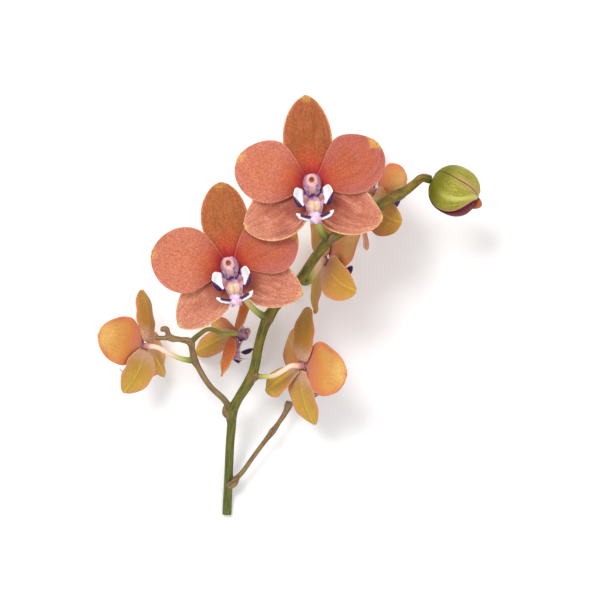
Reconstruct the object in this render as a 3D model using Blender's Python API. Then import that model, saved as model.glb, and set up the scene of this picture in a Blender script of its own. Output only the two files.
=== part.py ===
"""A cut spray of a moth orchid, lying on its back blooms with the stem's cut end on the surface.

Every length is in millimetres and every angle in degrees until a mesh is made, which is in metres.
The spray lies in the XY plane with its tip towards +X and +Y; +Z points up, away from the surface.
"""

import math
from dataclasses import dataclass, field, replace

import bmesh
import bpy
import numpy as np

MM = 0.001
ORIGIN = np.array([-4.08, -5.67, 0.0])  # middle of the spray's box, moved onto the world's origin
BLADE = 0.7  # thickness of a petal or sepal
ROOT = 1.8  # distance of a blade's root from the middle of its bloom
SEAT = 0.6  # top of the pin on which a bloom's column and blades sit
SURFACE_Z = 0.0  # a blade that would go lower is pressed flat here


@dataclass(frozen=True)
class Blade:
    """A petal or sepal, in the axes of its bloom: along, across and out of the face."""

    spread: float = 0.0  # angle from the bloom's top, towards its right
    length: float = 34.0
    width: float = 21.0
    widest: float = 0.48  # share of the length where it is widest
    blunt: float = 0.53  # power of the outline beyond there: lower is rounder
    rise: float = 0.9  # power of the outline before there
    claw: float = 0.16  # share of the width at the root
    pitch: float = 6.0  # lift of the root out of the face
    bend: float = -12.0  # turn of the midrib along the length
    cup: float = 12.0  # turn of each half across the width
    sweep: float = 0.0  # turn of the midrib within the face
    twist: float = 0.0  # turn of the tip about the midrib
    level: float = 0.0  # height of the root above the face
    thick: float = BLADE


SEPAL = Blade()
PETAL = Blade(length=32, width=27, widest=0.56, blunt=0.47, rise=1.05, claw=0.1,
              pitch=7, bend=-14, cup=10, level=1.2)


@dataclass(frozen=True)
class Frame:
    """Where a shape's own axes lie: across, along and out, from its origin."""

    origin: np.ndarray
    across: np.ndarray
    along: np.ndarray
    out: np.ndarray

    def place(self, points):
        """Points given as (across, along, out) in this frame, as world points."""
        return self.origin + points @ np.array([self.across, self.along, self.out])

    def turned(self, roll, pitch):
        """This frame turned within its face, then with its lower side tipped out."""
        c, s = math.cos(math.radians(roll)), math.sin(math.radians(roll))
        across, along = self.across * c + self.along * s, self.along * c - self.across * s
        c, s = math.cos(math.radians(pitch)), math.sin(math.radians(pitch))
        return Frame(self.origin, across, along * c - self.out * s, self.out * c + along * s)


@dataclass(frozen=True)
class Bloom:
    """One flower: where its middle is, which way it faces, and its five blades."""

    centre: tuple
    lean: float  # angle between the way it faces and straight up
    toward: float  # direction on the surface in which it leans
    top: float  # direction on the surface of its dorsal sepal
    blades: dict
    size: float = 1.0  # scale of the lip and the column
    lip_roll: float = 0.0  # turn of the lip within the face
    lip_pitch: float = 0.0  # turn of the lip out of the face
    stalk: list = field(default_factory=list)
    bent: bool = False  # the stalk meets the bloom at a slant

    def frame(self):
        """The bloom's axes: right, top and facing direction."""
        lean, toward, top = (math.radians(a) for a in (self.lean, self.toward, self.top))
        out = np.array([math.sin(lean) * math.cos(toward), math.sin(lean) * math.sin(toward),
                        math.cos(lean)])
        along = np.array([math.cos(top), math.sin(top), 0.0])
        along = along - out * (along @ out)
        along = along / np.linalg.norm(along)
        return Frame(np.array(self.centre, float), np.cross(along, out), along, out)


def turn_of(angle, step):
    """Advance and offset of an arc that starts along an angle and turns by a step, of length 1."""
    start, turn = math.radians(angle), math.radians(step)
    if abs(turn) < 1e-4:
        return lambda t: (t * math.cos(start), t * math.sin(start))
    return lambda t: ((np.sin(start + turn * t) - math.sin(start)) / turn,
                      (math.cos(start) - np.cos(start + turn * t)) / turn)


def half_width(blade, t):
    """Half the width of a blade at a share t of its length."""
    grow = np.clip(t / blade.widest, 0, 1)
    fade = np.clip((t - blade.widest) / (1 - blade.widest), 0, 1)
    base = blade.claw + (1 - blade.claw) * np.sin(np.pi / 2 * grow) ** blade.rise
    tip = np.maximum(np.maximum(np.cos(np.pi / 2 * fade), 0) ** blade.blunt, 0.12)
    return np.where(t < blade.widest, base, tip) * blade.width / 2


def blade_surface(blade, t, v):
    """Middle surface of a blade at shares t along and v across, as (across, along, out)."""
    advance, lift = turn_of(blade.pitch, blade.bend)(t)
    forward, aside = turn_of(-blade.sweep / 2, blade.sweep)(t)
    half = half_width(blade, t)
    cup = np.radians(blade.cup) * half / (blade.width / 2)
    safe = np.where(np.abs(cup) < 1e-5, 1e-5, cup)
    y = half / safe * np.sin(safe * v)
    z = half / safe * (1 - np.cos(safe * v))
    twist = np.radians(blade.twist) * t
    y, z = y * np.cos(twist) - z * np.sin(twist), y * np.sin(twist) + z * np.cos(twist)
    slope = np.radians(blade.pitch) + np.radians(blade.bend) * t
    head = np.radians(blade.sweep) * (t - 0.5)
    short = y * np.sin(head) + blade.length * (t - forward)
    along = ROOT + blade.length * advance - z * np.sin(slope) - short * np.cos(slope)
    across = y * np.cos(head) + blade.length * aside
    out = blade.level + blade.length * lift + z * np.cos(slope)
    spread = math.radians(blade.spread)
    return np.stack([along * math.sin(spread) + across * math.cos(spread),
                     along * math.cos(spread) - across * math.sin(spread), out], -1)


def blade_grid(blade, frame, rows=7, columns=6):
    """World points of a blade's middle surface and its unit normals, row by row to the tip."""
    share = 1 - (1 - np.linspace(0, 1, rows + 1)) ** 1.35
    t, v = np.meshgrid(share, np.linspace(-1, 1, columns + 1), indexing="ij")
    step = 1e-3
    middle = frame.place(blade_surface(blade, t, v))
    down = frame.place(blade_surface(blade, np.minimum(t + step, 1), v))
    up = frame.place(blade_surface(blade, np.maximum(t - step, 0), v))
    right = frame.place(blade_surface(blade, t, v + step))
    left = frame.place(blade_surface(blade, t, v - step))
    normal = np.cross(right - left, down - up)
    return middle, normal / np.linalg.norm(normal, axis=-1, keepdims=True)


def slab(middle, normal, thick):
    """A closed sheet of even thickness: front and back split alike, joined round the rim."""
    rows, columns = middle.shape[:2]
    front = (middle + normal * thick / 2).reshape(-1, 3)
    back = (middle - normal * thick / 2).reshape(-1, 3)
    count = rows * columns
    faces = []
    for i in range(rows - 1):
        for j in range(columns - 1):
            a, b = i * columns + j, i * columns + j + 1
            c, d = a + columns, b + columns
            faces += [(a, b, d), (a, d, c)]
            faces += [(count + a, count + d, count + b), (count + a, count + c, count + d)]
    top = list(range(columns))
    right = [i * columns + columns - 1 for i in range(1, rows)]
    bottom = [(rows - 1) * columns + j for j in range(columns - 2, -1, -1)]
    left = [i * columns for i in range(rows - 2, 0, -1)]
    rim = top + right + bottom + left
    for a, b in zip(rim, rim[1:] + rim[:1]):
        faces += [(b, a, count + a), (b, count + a, count + b)]
    return np.concatenate([front, back]), faces


def blade_solid(blade, frame, rows=7, columns=6):
    """A petal or sepal as a closed sheet, pressed flat where it would go below the surface."""
    middle, normal = blade_grid(blade, frame, rows, columns)
    points, faces = slab(middle, normal, blade.thick)
    points[:, 2] = np.maximum(points[:, 2], SURFACE_Z)
    return points, faces


def frame_along(at, along, out):
    """A frame at a point whose blade would start there, pointing along and facing out."""
    along = np.asarray(along, float)
    along = along / np.linalg.norm(along)
    out = np.asarray(out, float)
    out = out - along * (out @ along)
    out = out / np.linalg.norm(out)
    return Frame(np.asarray(at, float) - along * ROOT, np.cross(along, out), along, out)


def ring_tube(path, sides, squash=(1.0, 1.0)):
    """A closed tube along rows of (x, y, z, radius), with flat ends and its section squashed."""
    path = np.asarray(path, float)
    spine, radius = path[:, :3], path[:, 3]
    tangent = np.gradient(spine, axis=0)
    tangent /= np.linalg.norm(tangent, axis=1, keepdims=True)
    side = np.cross(tangent[0], [0.0, 0.0, 1.0])
    if np.linalg.norm(side) < 0.3:
        side = np.cross(tangent[0], [0.0, 1.0, 0.0])
    angle = 2 * np.pi * np.arange(sides) / sides
    rings = []
    for centre, along, r in zip(spine, tangent, radius):
        side = side - along * (side @ along)
        side /= np.linalg.norm(side)
        other = np.cross(along, side)
        rings.append(centre + r * (squash[0] * np.cos(angle)[:, None] * side
                                   + squash[1] * np.sin(angle)[:, None] * other))
    points = np.concatenate(rings + [spine[:1], spine[-1:]])
    faces = []
    for i in range(len(rings) - 1):
        for j in range(sides):
            a, b = i * sides + j, i * sides + (j + 1) % sides
            faces += [(a, b, b + sides), (a, b + sides, a + sides)]
    first, last = len(points) - 2, len(points) - 1
    end = (len(rings) - 1) * sides
    for j in range(sides):
        faces += [(first, (j + 1) % sides, j), (last, end + j, end + (j + 1) % sides)]
    return points, faces


def smooth_path(knots, steps):
    """A rounded path through rows of (x, y, z, radius), with a number of steps between knots."""
    knots = np.asarray(knots, float)
    padded = np.concatenate([2 * knots[:1] - knots[1:2], knots, 2 * knots[-1:] - knots[-2:-1]])
    path = []
    for i in range(1, len(padded) - 2):
        a, b, c, d = padded[i - 1:i + 3]
        for t in np.arange(steps) / steps:
            path.append(0.5 * (2 * b + (c - a) * t + (2 * a - 5 * b + 4 * c - d) * t ** 2
                               + (3 * b - a - 3 * c + d) * t ** 3))
    return np.array(path + [knots[-1]])


def ellipsoid(centre, size, rows=5, sides=8):
    """A closed rounded lump."""
    height = np.linspace(-1, 1, rows + 2)[1:-1]
    height = np.sin(height * np.pi / 2)
    path = [(0, 0, h, math.sqrt(1 - h * h)) for h in height]
    points, faces = ring_tube(path, sides)
    points[-2], points[-1] = (0, 0, -1), (0, 0, 1)
    return points * np.asarray(size) + np.asarray(centre), faces


def mesh_of(name, points, faces):
    """A mesh in metres from points in millimetres, with its faces turned outwards."""
    mesh = bpy.data.meshes.new(name)
    mesh.from_pydata((points * MM).tolist(), [], faces)
    tidy = bmesh.new()
    tidy.from_mesh(mesh)
    bmesh.ops.recalc_face_normals(tidy, faces=tidy.faces)
    tidy.to_mesh(mesh)
    tidy.free()
    return mesh


def add_object(name, mesh, colour, roughness=0.45):
    """A named object with a material of its own."""
    mesh.name = name
    obj = bpy.data.objects.new(name, mesh)
    bpy.context.scene.collection.objects.link(obj)
    finish = bpy.data.materials.new(name)
    finish.use_nodes = True
    shader = finish.node_tree.nodes["Principled BSDF"]
    shader.inputs["Base Color"].default_value = (*colour, 1.0)
    shader.inputs["Roughness"].default_value = roughness
    finish.diffuse_color = (*colour, 1.0)
    mesh.materials.clear()
    mesh.materials.append(finish)
    return obj


def joined(name, solids):
    """One mesh from several overlapping solids, each a (points, faces) pair."""
    helpers = bpy.data.collections.new(name + "_pieces")
    bpy.context.scene.collection.children.link(helpers)
    objects = [bpy.data.objects.new(f"{name}_{i}", mesh_of(f"{name}_{i}", *solid))
               for i, solid in enumerate(solids)]
    for other in objects[1:]:
        helpers.objects.link(other)
    base = objects[0]
    bpy.context.scene.collection.objects.link(base)
    union = base.modifiers.new("union", "BOOLEAN")
    union.operation = "UNION"
    union.solver = "EXACT"
    union.operand_type = "COLLECTION"
    union.collection = helpers
    bpy.context.view_layer.update()
    graph = bpy.context.evaluated_depsgraph_get()
    mesh = bpy.data.meshes.new_from_object(base.evaluated_get(graph))
    for used in objects:
        bpy.data.objects.remove(used)
    bpy.data.collections.remove(helpers)
    return mesh


GREEN = (0.11, 0.14, 0.03)
SALMON = (0.55, 0.14, 0.08)
OCHRE = (0.50, 0.19, 0.07)
GOLD = (0.55, 0.28, 0.06)
OLIVE = (0.42, 0.29, 0.05)
LILAC = (0.62, 0.45, 0.62)
CREAM = (0.72, 0.55, 0.36)
LIME = (0.34, 0.37, 0.06)
CRIMSON = (0.20, 0.01, 0.03)

BLOOMS = {
    "a": Bloom((5.1, 49.0, 69.0), 4, 270, 94, {
        "dorsal_sepal": replace(SEPAL, length=35.5, sweep=8),
        "left_petal": replace(PETAL, spread=-65, pitch=9, bend=-16, cup=8, sweep=25, length=31.5,
                              width=27),
        "right_petal": replace(PETAL, spread=60, pitch=9, cup=8, sweep=-36, length=31,
                               width=26, widest=0.59),
        "left_sepal": replace(SEPAL, spread=-118, pitch=5, cup=10, sweep=34, length=32.5,
                              width=23.5, widest=0.5, blunt=0.56),
        "right_sepal": replace(SEPAL, spread=120, sweep=-40, length=32, width=23, widest=0.42,
                               blunt=0.58)},
        lip_roll=2,
        stalk=[(12.1, 25.9, 50, 1.9), (9.2, 29.4, 53, 1.6), (7.2, 34.2, 57, 1.35),
               (5.9, 41.5, 60.8, 1.3)]),
    "b": Bloom((-29.5, 14.5, 59.0), 6, 240, 97, {
        "dorsal_sepal": replace(SEPAL, pitch=5, bend=-13, length=34, width=20.5, widest=0.53,
                                blunt=0.47),
        "left_petal": replace(PETAL, spread=-73, pitch=16, bend=-8, cup=12, sweep=3, twist=8,
                              length=32.5, width=29),
        "right_petal": replace(PETAL, spread=70, pitch=9, sweep=12, length=30, width=26,
                               widest=0.6),
        "left_sepal": replace(SEPAL, spread=-132, sweep=11, length=32.5, widest=0.42),
        "right_sepal": replace(SEPAL, spread=118, sweep=-13, length=31, width=21.5, blunt=0.6)},
        lip_roll=4.5,
        stalk=[(-14.4, -7.9, 38, 1.8), (-19.1, -4.8, 43, 1.4), (-23.2, -0.1, 47, 1.3),
               (-27.6, 8, 51, 1.3)]),
    "c": Bloom((-67.9, -20.3, 27.6), 125, 175, 90, {
        "dorsal_sepal": replace(SEPAL, spread=-13, pitch=9, bend=22, cup=20, sweep=10, twist=-4,
                                length=24.5, width=14.2, blunt=0.4),
        "left_petal": replace(PETAL, spread=-104, pitch=17, bend=5, cup=26, sweep=11, twist=8,
                              length=27, width=21),
        "right_petal": replace(PETAL, spread=80, pitch=4, bend=6, cup=-8, twist=5, length=26.5,
                               width=21.5, widest=0.42),
        "left_sepal": replace(SEPAL, spread=-127, pitch=3, bend=14, cup=20, sweep=-5, twist=-10,
                              length=22, width=7.5, claw=0.1),
        "right_sepal": replace(SEPAL, spread=159, pitch=4, bend=20, cup=-15, sweep=-16,
                               length=21, width=20.5, widest=0.4, blunt=0.5)},
        size=0.92,
        stalk=[(-46.5, -27, 24.5, 1.5), (-52.7, -25.8, 27.5, 1.15), (-57.9, -23.4, 30, 1.1)]),
    "d": Bloom((0.9, -29.0, 30.0), 128, -2, 58, {
        "dorsal_sepal": replace(SEPAL, spread=8, pitch=-11, bend=17, cup=4, sweep=-16, twist=9,
                                length=24.5, width=16, blunt=0.42),
        "left_petal": replace(PETAL, spread=-74, pitch=-2, bend=9, cup=-12, sweep=-5, twist=-14,
                              length=26.5, width=24, widest=0.44),
        "right_petal": replace(PETAL, spread=78, pitch=16, bend=8, cup=6, sweep=-2, twist=-8,
                               length=26, width=21),
        "left_sepal": replace(SEPAL, spread=-163, pitch=10, bend=22, cup=-12, sweep=24, twist=3,
                              length=26, width=18.5, widest=0.41, rise=1.4),
        "right_sepal": replace(SEPAL, spread=140, pitch=-9, bend=4, cup=6, sweep=6, twist=-2,
                               length=22.5, width=12, widest=0.72, rise=1.5, claw=0.1, level=-0.7)},
        size=0.92,
        stalk=[(-21.2, -33.5, 27, 1.6), (-16.3, -33.7, 29.5, 1.15), (-11.9, -33.3, 31.5, 1.1),
               (-7.4, -31.0, 33, 1.15)]),
    "e": Bloom((11.5, 17.2, 27.5), 117, -10, 124, {
        "dorsal_sepal": replace(SEPAL, spread=17, pitch=-3, bend=7, cup=24, sweep=-8, twist=-5,
                                length=28, width=19),
        "left_petal": replace(PETAL, spread=-77, pitch=-1, bend=5, cup=2, sweep=-5, twist=6,
                              length=26.5, width=24, widest=0.5),
        "right_petal": replace(PETAL, spread=84, pitch=16, bend=8, cup=6, sweep=-2, twist=-8,
                               length=26, width=23.5),
        "left_sepal": replace(SEPAL, spread=-134, pitch=-8, bend=23, cup=-24, sweep=28, twist=-3,
                              length=29.5, width=18.5, widest=0.4),
        "right_sepal": replace(SEPAL, spread=119, pitch=6, bend=21, cup=-4, sweep=11,
                               length=29, width=13.5, widest=0.53)},
        size=0.92,
        bent=True,
        stalk=[(0.9, 8.0, 45.2, 1.6), (2.9, 7.8, 43.2, 1.6), (5.0, 10.6, 40, 1.8),
               (7.2, 14.6, 35.6, 2.0), (8.7, 17.0, 32.0, 2.0)]),
    "f": Bloom((32.7, 48.1, 25.6), 115, -6, 115, {
        "dorsal_sepal": replace(SEPAL, spread=17, pitch=-3, bend=7, cup=24, sweep=-8, twist=-5,
                                length=26, width=17),
        "left_petal": replace(PETAL, spread=-93, pitch=-2, bend=9, cup=-12, sweep=5, twist=9,
                              length=24.5, width=20.5, widest=0.42),
        "right_petal": replace(PETAL, spread=84, pitch=16, bend=8, cup=6, sweep=-2, twist=-8,
                               length=24, width=22),
        "left_sepal": replace(SEPAL, spread=-130, pitch=-11, bend=25, cup=-25, sweep=39,
                              length=30, width=21, widest=0.43),
        "right_sepal": replace(SEPAL, spread=134, pitch=1, bend=29, cup=-14, sweep=13, twist=-38,
                               length=29.5, width=13.5, widest=0.41)},
        size=0.92,
        stalk=[(38.5, 43.4, 52.5, 1.7), (33.5, 42.5, 47.5, 1.3), (27.5, 45.0, 38.5, 1.2)]),
    "g": Bloom((-28.7, -14.6, 24.0), 131, 5, 54, {
        "dorsal_sepal": replace(SEPAL, spread=-2, pitch=-2, bend=-4, cup=50, sweep=4, twist=10,
                                length=24, width=7, widest=0.4, claw=0.5),
        "left_petal": replace(PETAL, spread=-167, pitch=-14, bend=2, cup=20, length=18, width=8,
                              widest=0.3, blunt=0.9, claw=0.5, level=-1.2),
        "right_petal": replace(PETAL, spread=114, pitch=8, bend=9, cup=0, sweep=13, twist=7,
                               length=22.5, width=12),
        "left_sepal": replace(SEPAL, spread=179, pitch=-10, bend=0.1, cup=10, level=0.1,
                              length=15, width=5, widest=0.7, claw=0.2),
        "right_sepal": replace(SEPAL, spread=134, pitch=-6, bend=9, cup=14, sweep=5, twist=-12,
                               length=27.5, width=11.5, widest=0.55)},
        size=0.8, lip_pitch=-14,
        stalk=[(-48.4, -18.8, 26, 1.4), (-44.2, -15.0, 26.5, 1.1), (-40.3, -12.9, 27.5, 1.0)]),
}

MAIN_STEM = [
    (-33.1, -97.3, 1.45, 2.1), (-33, -94.5, 1.45, 2.1), (-32, -76.5, 8, 2), (-31.3, -64, 13, 2),
    (-30.5, -55.2, 17.5, 2.1), (-30.4, -50.7, 19.5, 2.6), (-29.5, -48, 20.5, 2.3),
    (-27.4, -43.9, 22.5, 2.1), (-21.6, -34.4, 27, 2.5), (-20.3, -30.8, 28.5, 2.2),
    (-17.9, -19.1, 33, 2.1), (-15.5, -11.2, 36.5, 2.3), (-14, -7.9, 38, 2.8),
    (-11.1, -3.5, 40, 2.2), (-5.2, 3, 43, 2.2), (0.5, 9.6, 46, 2.1), (4.8, 16.0, 48, 2.1),
    (9.7, 22.6, 49.5, 2.2), (12.4, 25.6, 50, 2.5), (15.4, 27.6, 50.6, 2.2),
    (25.9, 34.5, 52.2, 2.2), (34.0, 40.0, 52.8, 2.2), (39.9, 44.3, 52.6, 2.6),
    (41.7, 45.1, 52.2, 2.5), (45.2, 46.9, 50.8, 2.1), (49.8, 50.5, 48.2, 1.9),
    (53.0, 52.8, 46.2, 1.9), (56.4, 52.3, 44.4, 2.0)]
LEFT_BRANCH = [
    (-30.4, -50.7, 19.5, 1.6), (-32.7, -45.6, 20.5, 1.45), (-40.2, -37.8, 22.5, 1.3),
    (-45.1, -29.7, 24, 1.35), (-46.5, -27, 24.5, 1.75), (-47.7, -21.9, 25.5, 1.35),
    (-48.4, -18.8, 26, 1.8), (-53.1, -17.4, 26.3, 1.2), (-57.2, -16.6, 26.5, 1.7),
    (-58.2, -15, 26.8, 1.15), (-59.1, -12.6, 27, 1.15), (-60.7, -12.9, 27, 1.3),
    (-61.6, -12.8, 27, 0.9)]
SPENT_STALK = [(-57.2, -16.6, 26.5, 1.3), (-60.5, -16.8, 26.9, 1), (-63.1, -16.7, 27, 1.1),
               (-64.1, -16.7, 27, 0.8)]
SPENT_BRANCH = [
    (-31.1, -82.4, 6.4, 1.3), (-26.6, -78.2, 7.6, 1.15), (-21.3, -70.9, 9, 1.1),
    (-15.3, -62.8, 10, 1.15), (-12.3, -59, 10.4, 1.5), (-9.3, -54.7, 10.8, 1.1),
    (-6.3, -50, 11.2, 1.3), (-5.2, -47.3, 11.5, 1.9), (-4.6, -45.5, 11.8, 1.6)]


FACING = "abg"  # blooms whose petals show their fronts
STRAIGHT_END = ((6.0, 1.1), (2.6, 1.25), (0.8, 1.5))  # distances behind a bloom, with radii
BENT_END = ((1.2, 1.6),)
PIN_RADIUS = 1.45
PIN_DEPTH = 1.6


def stalk_path(bloom):
    """The flower stalk from the stem to the back of its bloom."""
    frame = bloom.frame()
    ends = BENT_END if bloom.bent else STRAIGHT_END
    return list(bloom.stalk) + [(*(frame.origin - frame.out * d), r) for d, r in ends]


def pin(bloom):
    """The short round end of the stalk, round which the blades stand."""
    frame = bloom.frame()
    ends = [(*(frame.origin + frame.out * d), PIN_RADIUS) for d in (-PIN_DEPTH, SEAT)]
    return ring_tube(ends, 7)


def scale_leaf(at, along, out, length, width):
    """A small bract that clasps the stem at a node."""
    bract = Blade(length=length, width=width, widest=0.35, blunt=0.9, claw=0.7, pitch=14,
                  bend=-10, cup=75, thick=0.8)
    return blade_solid(bract, frame_along(at, along, out), rows=4, columns=4)


BRACTS = [
    ((-31.6, -52.6, 18.6), (-0.3, 1, 0.4), (-0.9, -0.2, 0.6), 6.5, 4.6),
    ((-32.4, -84.2, 7.0), (0.9, 0.9, 0.2), (0.3, -0.3, 1), 7.5, 4.4),
    ((12.9, 24.6, 51.4), (0.1, 1, 0.25), (0.5, 0.1, 1), 5.0, 3.8),
    ((-13.4, -61.0, 11.2), (0.5, 0.9, 0.1), (-0.4, 0.3, 1), 5.0, 3.4),
    ((40.0, 43.6, 51.0), (0.6, 0.2, -0.2), (0.5, -0.8, -0.4), 6.0, 3.6),
    ((-21.6, -35.4, 28.2), (0.5, 0.6, 0.3), (0.6, -0.4, 0.8), 4.5, 4.0),
    ((-0.2, 7.6, 44.0), (0.5, 0.7, 0.2), (0.5, -0.5, 0.2), 4.5, 4.0),
]


def build_spike():
    """The stem with its branches, flower stalks and bracts, grown as one piece."""
    stem, stem_faces = ring_tube(smooth_path(MAIN_STEM, 1), 8)
    stem[:, 2] = np.maximum(stem[:, 2], SURFACE_Z)
    solids = [(stem, stem_faces)]
    solids += [ring_tube(smooth_path(line, 1), 6)
               for line in (LEFT_BRANCH, SPENT_STALK, SPENT_BRANCH)]
    for bloom in BLOOMS.values():
        solids.append(ring_tube(smooth_path(stalk_path(bloom), 2), 6))
        solids.append(pin(bloom))
    solids += [scale_leaf(*bract) for bract in BRACTS]
    solids = [(points - ORIGIN, faces) for points, faces in solids]
    add_object("flower_spike", joined("flower_spike", solids), GREEN)


LIP_WING = Blade(length=7.6, width=5.4, widest=0.45, blunt=0.75, claw=0.6, pitch=-8, bend=34,
                 cup=-20, thick=0.9)
LIP_EAR = Blade(length=8.2, width=8.8, widest=0.62, blunt=0.5, claw=0.55, pitch=-4, bend=55,
                cup=22, thick=0.8)
CLAW = [(0, -1.9, 1.7, 1.2), (0, -4.4, 2.7, 3.2), (0, -7.4, 4.4, 4.1), (0, -10.2, 6.0, 3.6),
        (0, -12.6, 7.2, 2.6), (0, -14.8, 8.2, 1.7)]


def lip_solids():
    """The lip's claw, lobes, callus and tendrils, in the axes of its bloom."""
    solids = [ring_tube(CLAW, 6, squash=(1.0, 0.5))]
    for side in (-1, 1):
        ear = frame_along((3.3 * side, -4.9, 3.6), (0.86 * side, -0.04, 0.5),
                          (-0.5 * side, 0.08, 0.86))
        wing = frame_along((0.9 * side, -14.2, 7.8), (0.93 * side, 0.2, 0.25),
                           (0, 0.93, -0.37))
        solids.append(blade_solid(LIP_EAR, ear, rows=3, columns=3))
        solids.append(blade_solid(LIP_WING, wing, rows=3, columns=3))
        tendril = [(1.1 * side, -15.2, 9.0, 0.7), (1.8 * side, -16.2, 10.2, 0.55),
                   (2.2 * side, -16.0, 11.4, 0.45)]
        solids.append(ring_tube(tendril, 3))
    solids.append(ellipsoid((0, -9.3, 7.0), (2.8, 2.7, 1.9), rows=3, sides=7))
    solids.append(ellipsoid((0, -13.8, 9.0), (2.8, 2.8, 2.1), rows=3, sides=6))
    return solids


COLUMN = [(0, 0.1, 1.1, 1.2), (0, 0.1, 2.1, 1.4), (0, 0.4, 3.8, 2.8), (0, 0.3, 5.4, 4.0),
          (0, 0.6, 7.0, 3.8), (0, 1.4, 8.3, 2.9), (0, 1.9, 9.1, 1.6)]
COLUMN_TOP = (0, 1.9, 9.5)


def column_solid():
    """The column that carries the anther, in the axes of its bloom."""
    points, faces = ring_tube(COLUMN, 8, squash=(1.0, 1.15))
    points[-1] = COLUMN_TOP
    return points, faces


def build_blooms():
    """Seven flowers, each with five blades, a lip and a column."""
    lip = joined("lip", lip_solids())
    lip_points = np.array([tuple(v.co) for v in lip.vertices]) / MM
    lip_faces = [tuple(p.vertices) for p in lip.polygons]
    bpy.data.meshes.remove(lip)
    column_points, column_faces = column_solid()
    for key, bloom in BLOOMS.items():
        frame = bloom.frame()
        for part, blade in bloom.blades.items():
            points, faces = blade_solid(blade, frame)
            petal = part.endswith("petal")
            if key in FACING:
                colour = SALMON if petal else OCHRE
            else:
                colour = GOLD if petal else OLIVE
            name = f"bloom_{key}_{part}"
            add_object(name, mesh_of(name, points - ORIGIN, faces), colour)
        turned = frame.turned(bloom.lip_roll, bloom.lip_pitch)
        for part, points, faces, colour in (("lip", lip_points, lip_faces, LILAC),
                                            ("column", column_points, column_faces, CREAM)):
            placed = turned.place(points * bloom.size) - ORIGIN
            name = f"bloom_{key}_{part}"
            add_object(name, mesh_of(name, placed, faces), colour, 0.35)


BUD_CENTRE = (66.9, 47.2, 44.0)
BUD_AIM = -27.0
BUD_LENGTH = 22.6
BUD_RADIUS = 10.7
BUD_SEPALS = {"bud_dorsal_sepal": (26, 140), "bud_left_sepal": (-84, 26),
              "bud_right_sepal": (140, 258)}  # angles from straight up towards +Y
BUD_SHARES = np.array([0.02, 0.07, 0.18, 0.34, 0.5, 0.66, 0.8, 0.9, 0.95])
SLANT = 36.0  # how far the upper seam turns away near the stalk
SLIT = 112.0  # how far the slit under the left sepal opens towards the tip
SHELL = 1.1
SEAM = 0.35
CORE_SHARES = (0.09, 0.2, 0.35, 0.5, 0.65, 0.8, 0.9)
CORE_INSET = 1.55  # depth of the petals under the sepals
RIDGE_INSET = 0.1  # depth of the ridge that shows in the slit
RIDGE_EDGE = 3.0  # angle between the slit's edge, the foot of the ridge and its top
BEAK = ((0.97, 2.8, 0.4), (1.03, 2.2, 0.3), (1.08, 1.2, 0.3))  # share, radius and sideways drop
BEAK_END = (1.1, 0.3)


def bud_radius(share):
    """Radius of the closed bud at a share of its length from the stalk."""
    return BUD_RADIUS * np.sqrt(np.maximum(1 - np.abs(2 * share - 1) ** 2.4, 0))


def bud_frame():
    """The bud's axes: along it from the stalk, and the two across it, the last one up."""
    aim = math.radians(BUD_AIM)
    along = np.array([math.cos(aim), math.sin(aim), 0.0])
    out = np.array([0.0, 0.0, 1.0])
    return along, np.cross(out, along), out


def bud_point(share, angle, inset):
    """A point under the bud's skin: the angle runs from straight up towards +Y."""
    along, side, out = bud_frame()
    radius = np.maximum(bud_radius(share) - inset, 0.05)
    centre = np.array(BUD_CENTRE) + along * (share - 0.5)[..., None] * BUD_LENGTH
    turn = np.radians(angle)
    ring = np.cos(turn)[..., None] * out + np.sin(turn)[..., None] * side
    return centre + radius[..., None] * ring


def bud_edges(name, share):
    """The two angles between which a sepal of the bud lies at a share of the length."""
    start, stop = (angle + 0.0 * share for angle in BUD_SEPALS[name])
    if name == "bud_left_sepal":
        return start + SLIT * share ** 3.2, stop + SLANT * (1 - share) ** 6
    if name == "bud_dorsal_sepal":
        return start + SLANT * (1 - share) ** 6, stop
    return start, stop


def bud_shell(name, columns):
    """One sepal of the bud."""
    share, v = np.meshgrid(BUD_SHARES, np.linspace(0, 1, columns + 1), indexing="ij")
    seam = np.degrees(SEAM / 2 / np.maximum(bud_radius(share) - SHELL, 1.0))
    start, stop = bud_edges(name, share)
    angle = (start + seam) * (1 - v) + (stop - seam) * v
    outer = bud_point(share, angle, 0.0)
    inner = bud_point(share, angle, SHELL)
    return slab((outer + inner) / 2, outer - inner, 1.0)


def bud_core():
    """The petals inside the bud: one ridge fills the slit, and their tip pokes out."""
    rings = []
    for share in CORE_SHARES:
        low = bud_edges("bud_right_sepal", share)[1] + RIDGE_EDGE
        high = 360 + bud_edges("bud_left_sepal", share)[0] - RIDGE_EDGE
        top = np.linspace(low + RIDGE_EDGE, high - RIDGE_EDGE, 4)
        rest = np.linspace(high + 20, low + 340, 9)
        angle = np.concatenate([[low], top, [high], rest])
        inset = np.full(len(angle), CORE_INSET)
        inset[1:5] = RIDGE_INSET
        rings.append(bud_point(np.full(len(angle), share), angle, inset))
    for share, radius, drop in BEAK:
        ring = bud_point(np.full(len(angle), share), angle, bud_radius(np.array(share)) - radius)
        rings.append(ring - bud_frame()[1] * drop)
    count = len(angle)
    axis = [bud_point(np.array([share]), 0.0, BUD_RADIUS) for share in (0.08, BEAK_END[0])]
    axis[1] = axis[1] - bud_frame()[1] * BEAK_END[1]
    faces = []
    for i in range(len(rings) - 1):
        for j in range(count):
            a, b = i * count + j, i * count + (j + 1) % count
            faces += [(a, b, b + count), (a, b + count, a + count)]
    first, end = len(rings) * count, (len(rings) - 1) * count
    for j in range(count):
        faces += [(first, (j + 1) % count, j), (first + 1, end + j, end + (j + 1) % count)]
    return np.concatenate(rings + axis), faces


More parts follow.
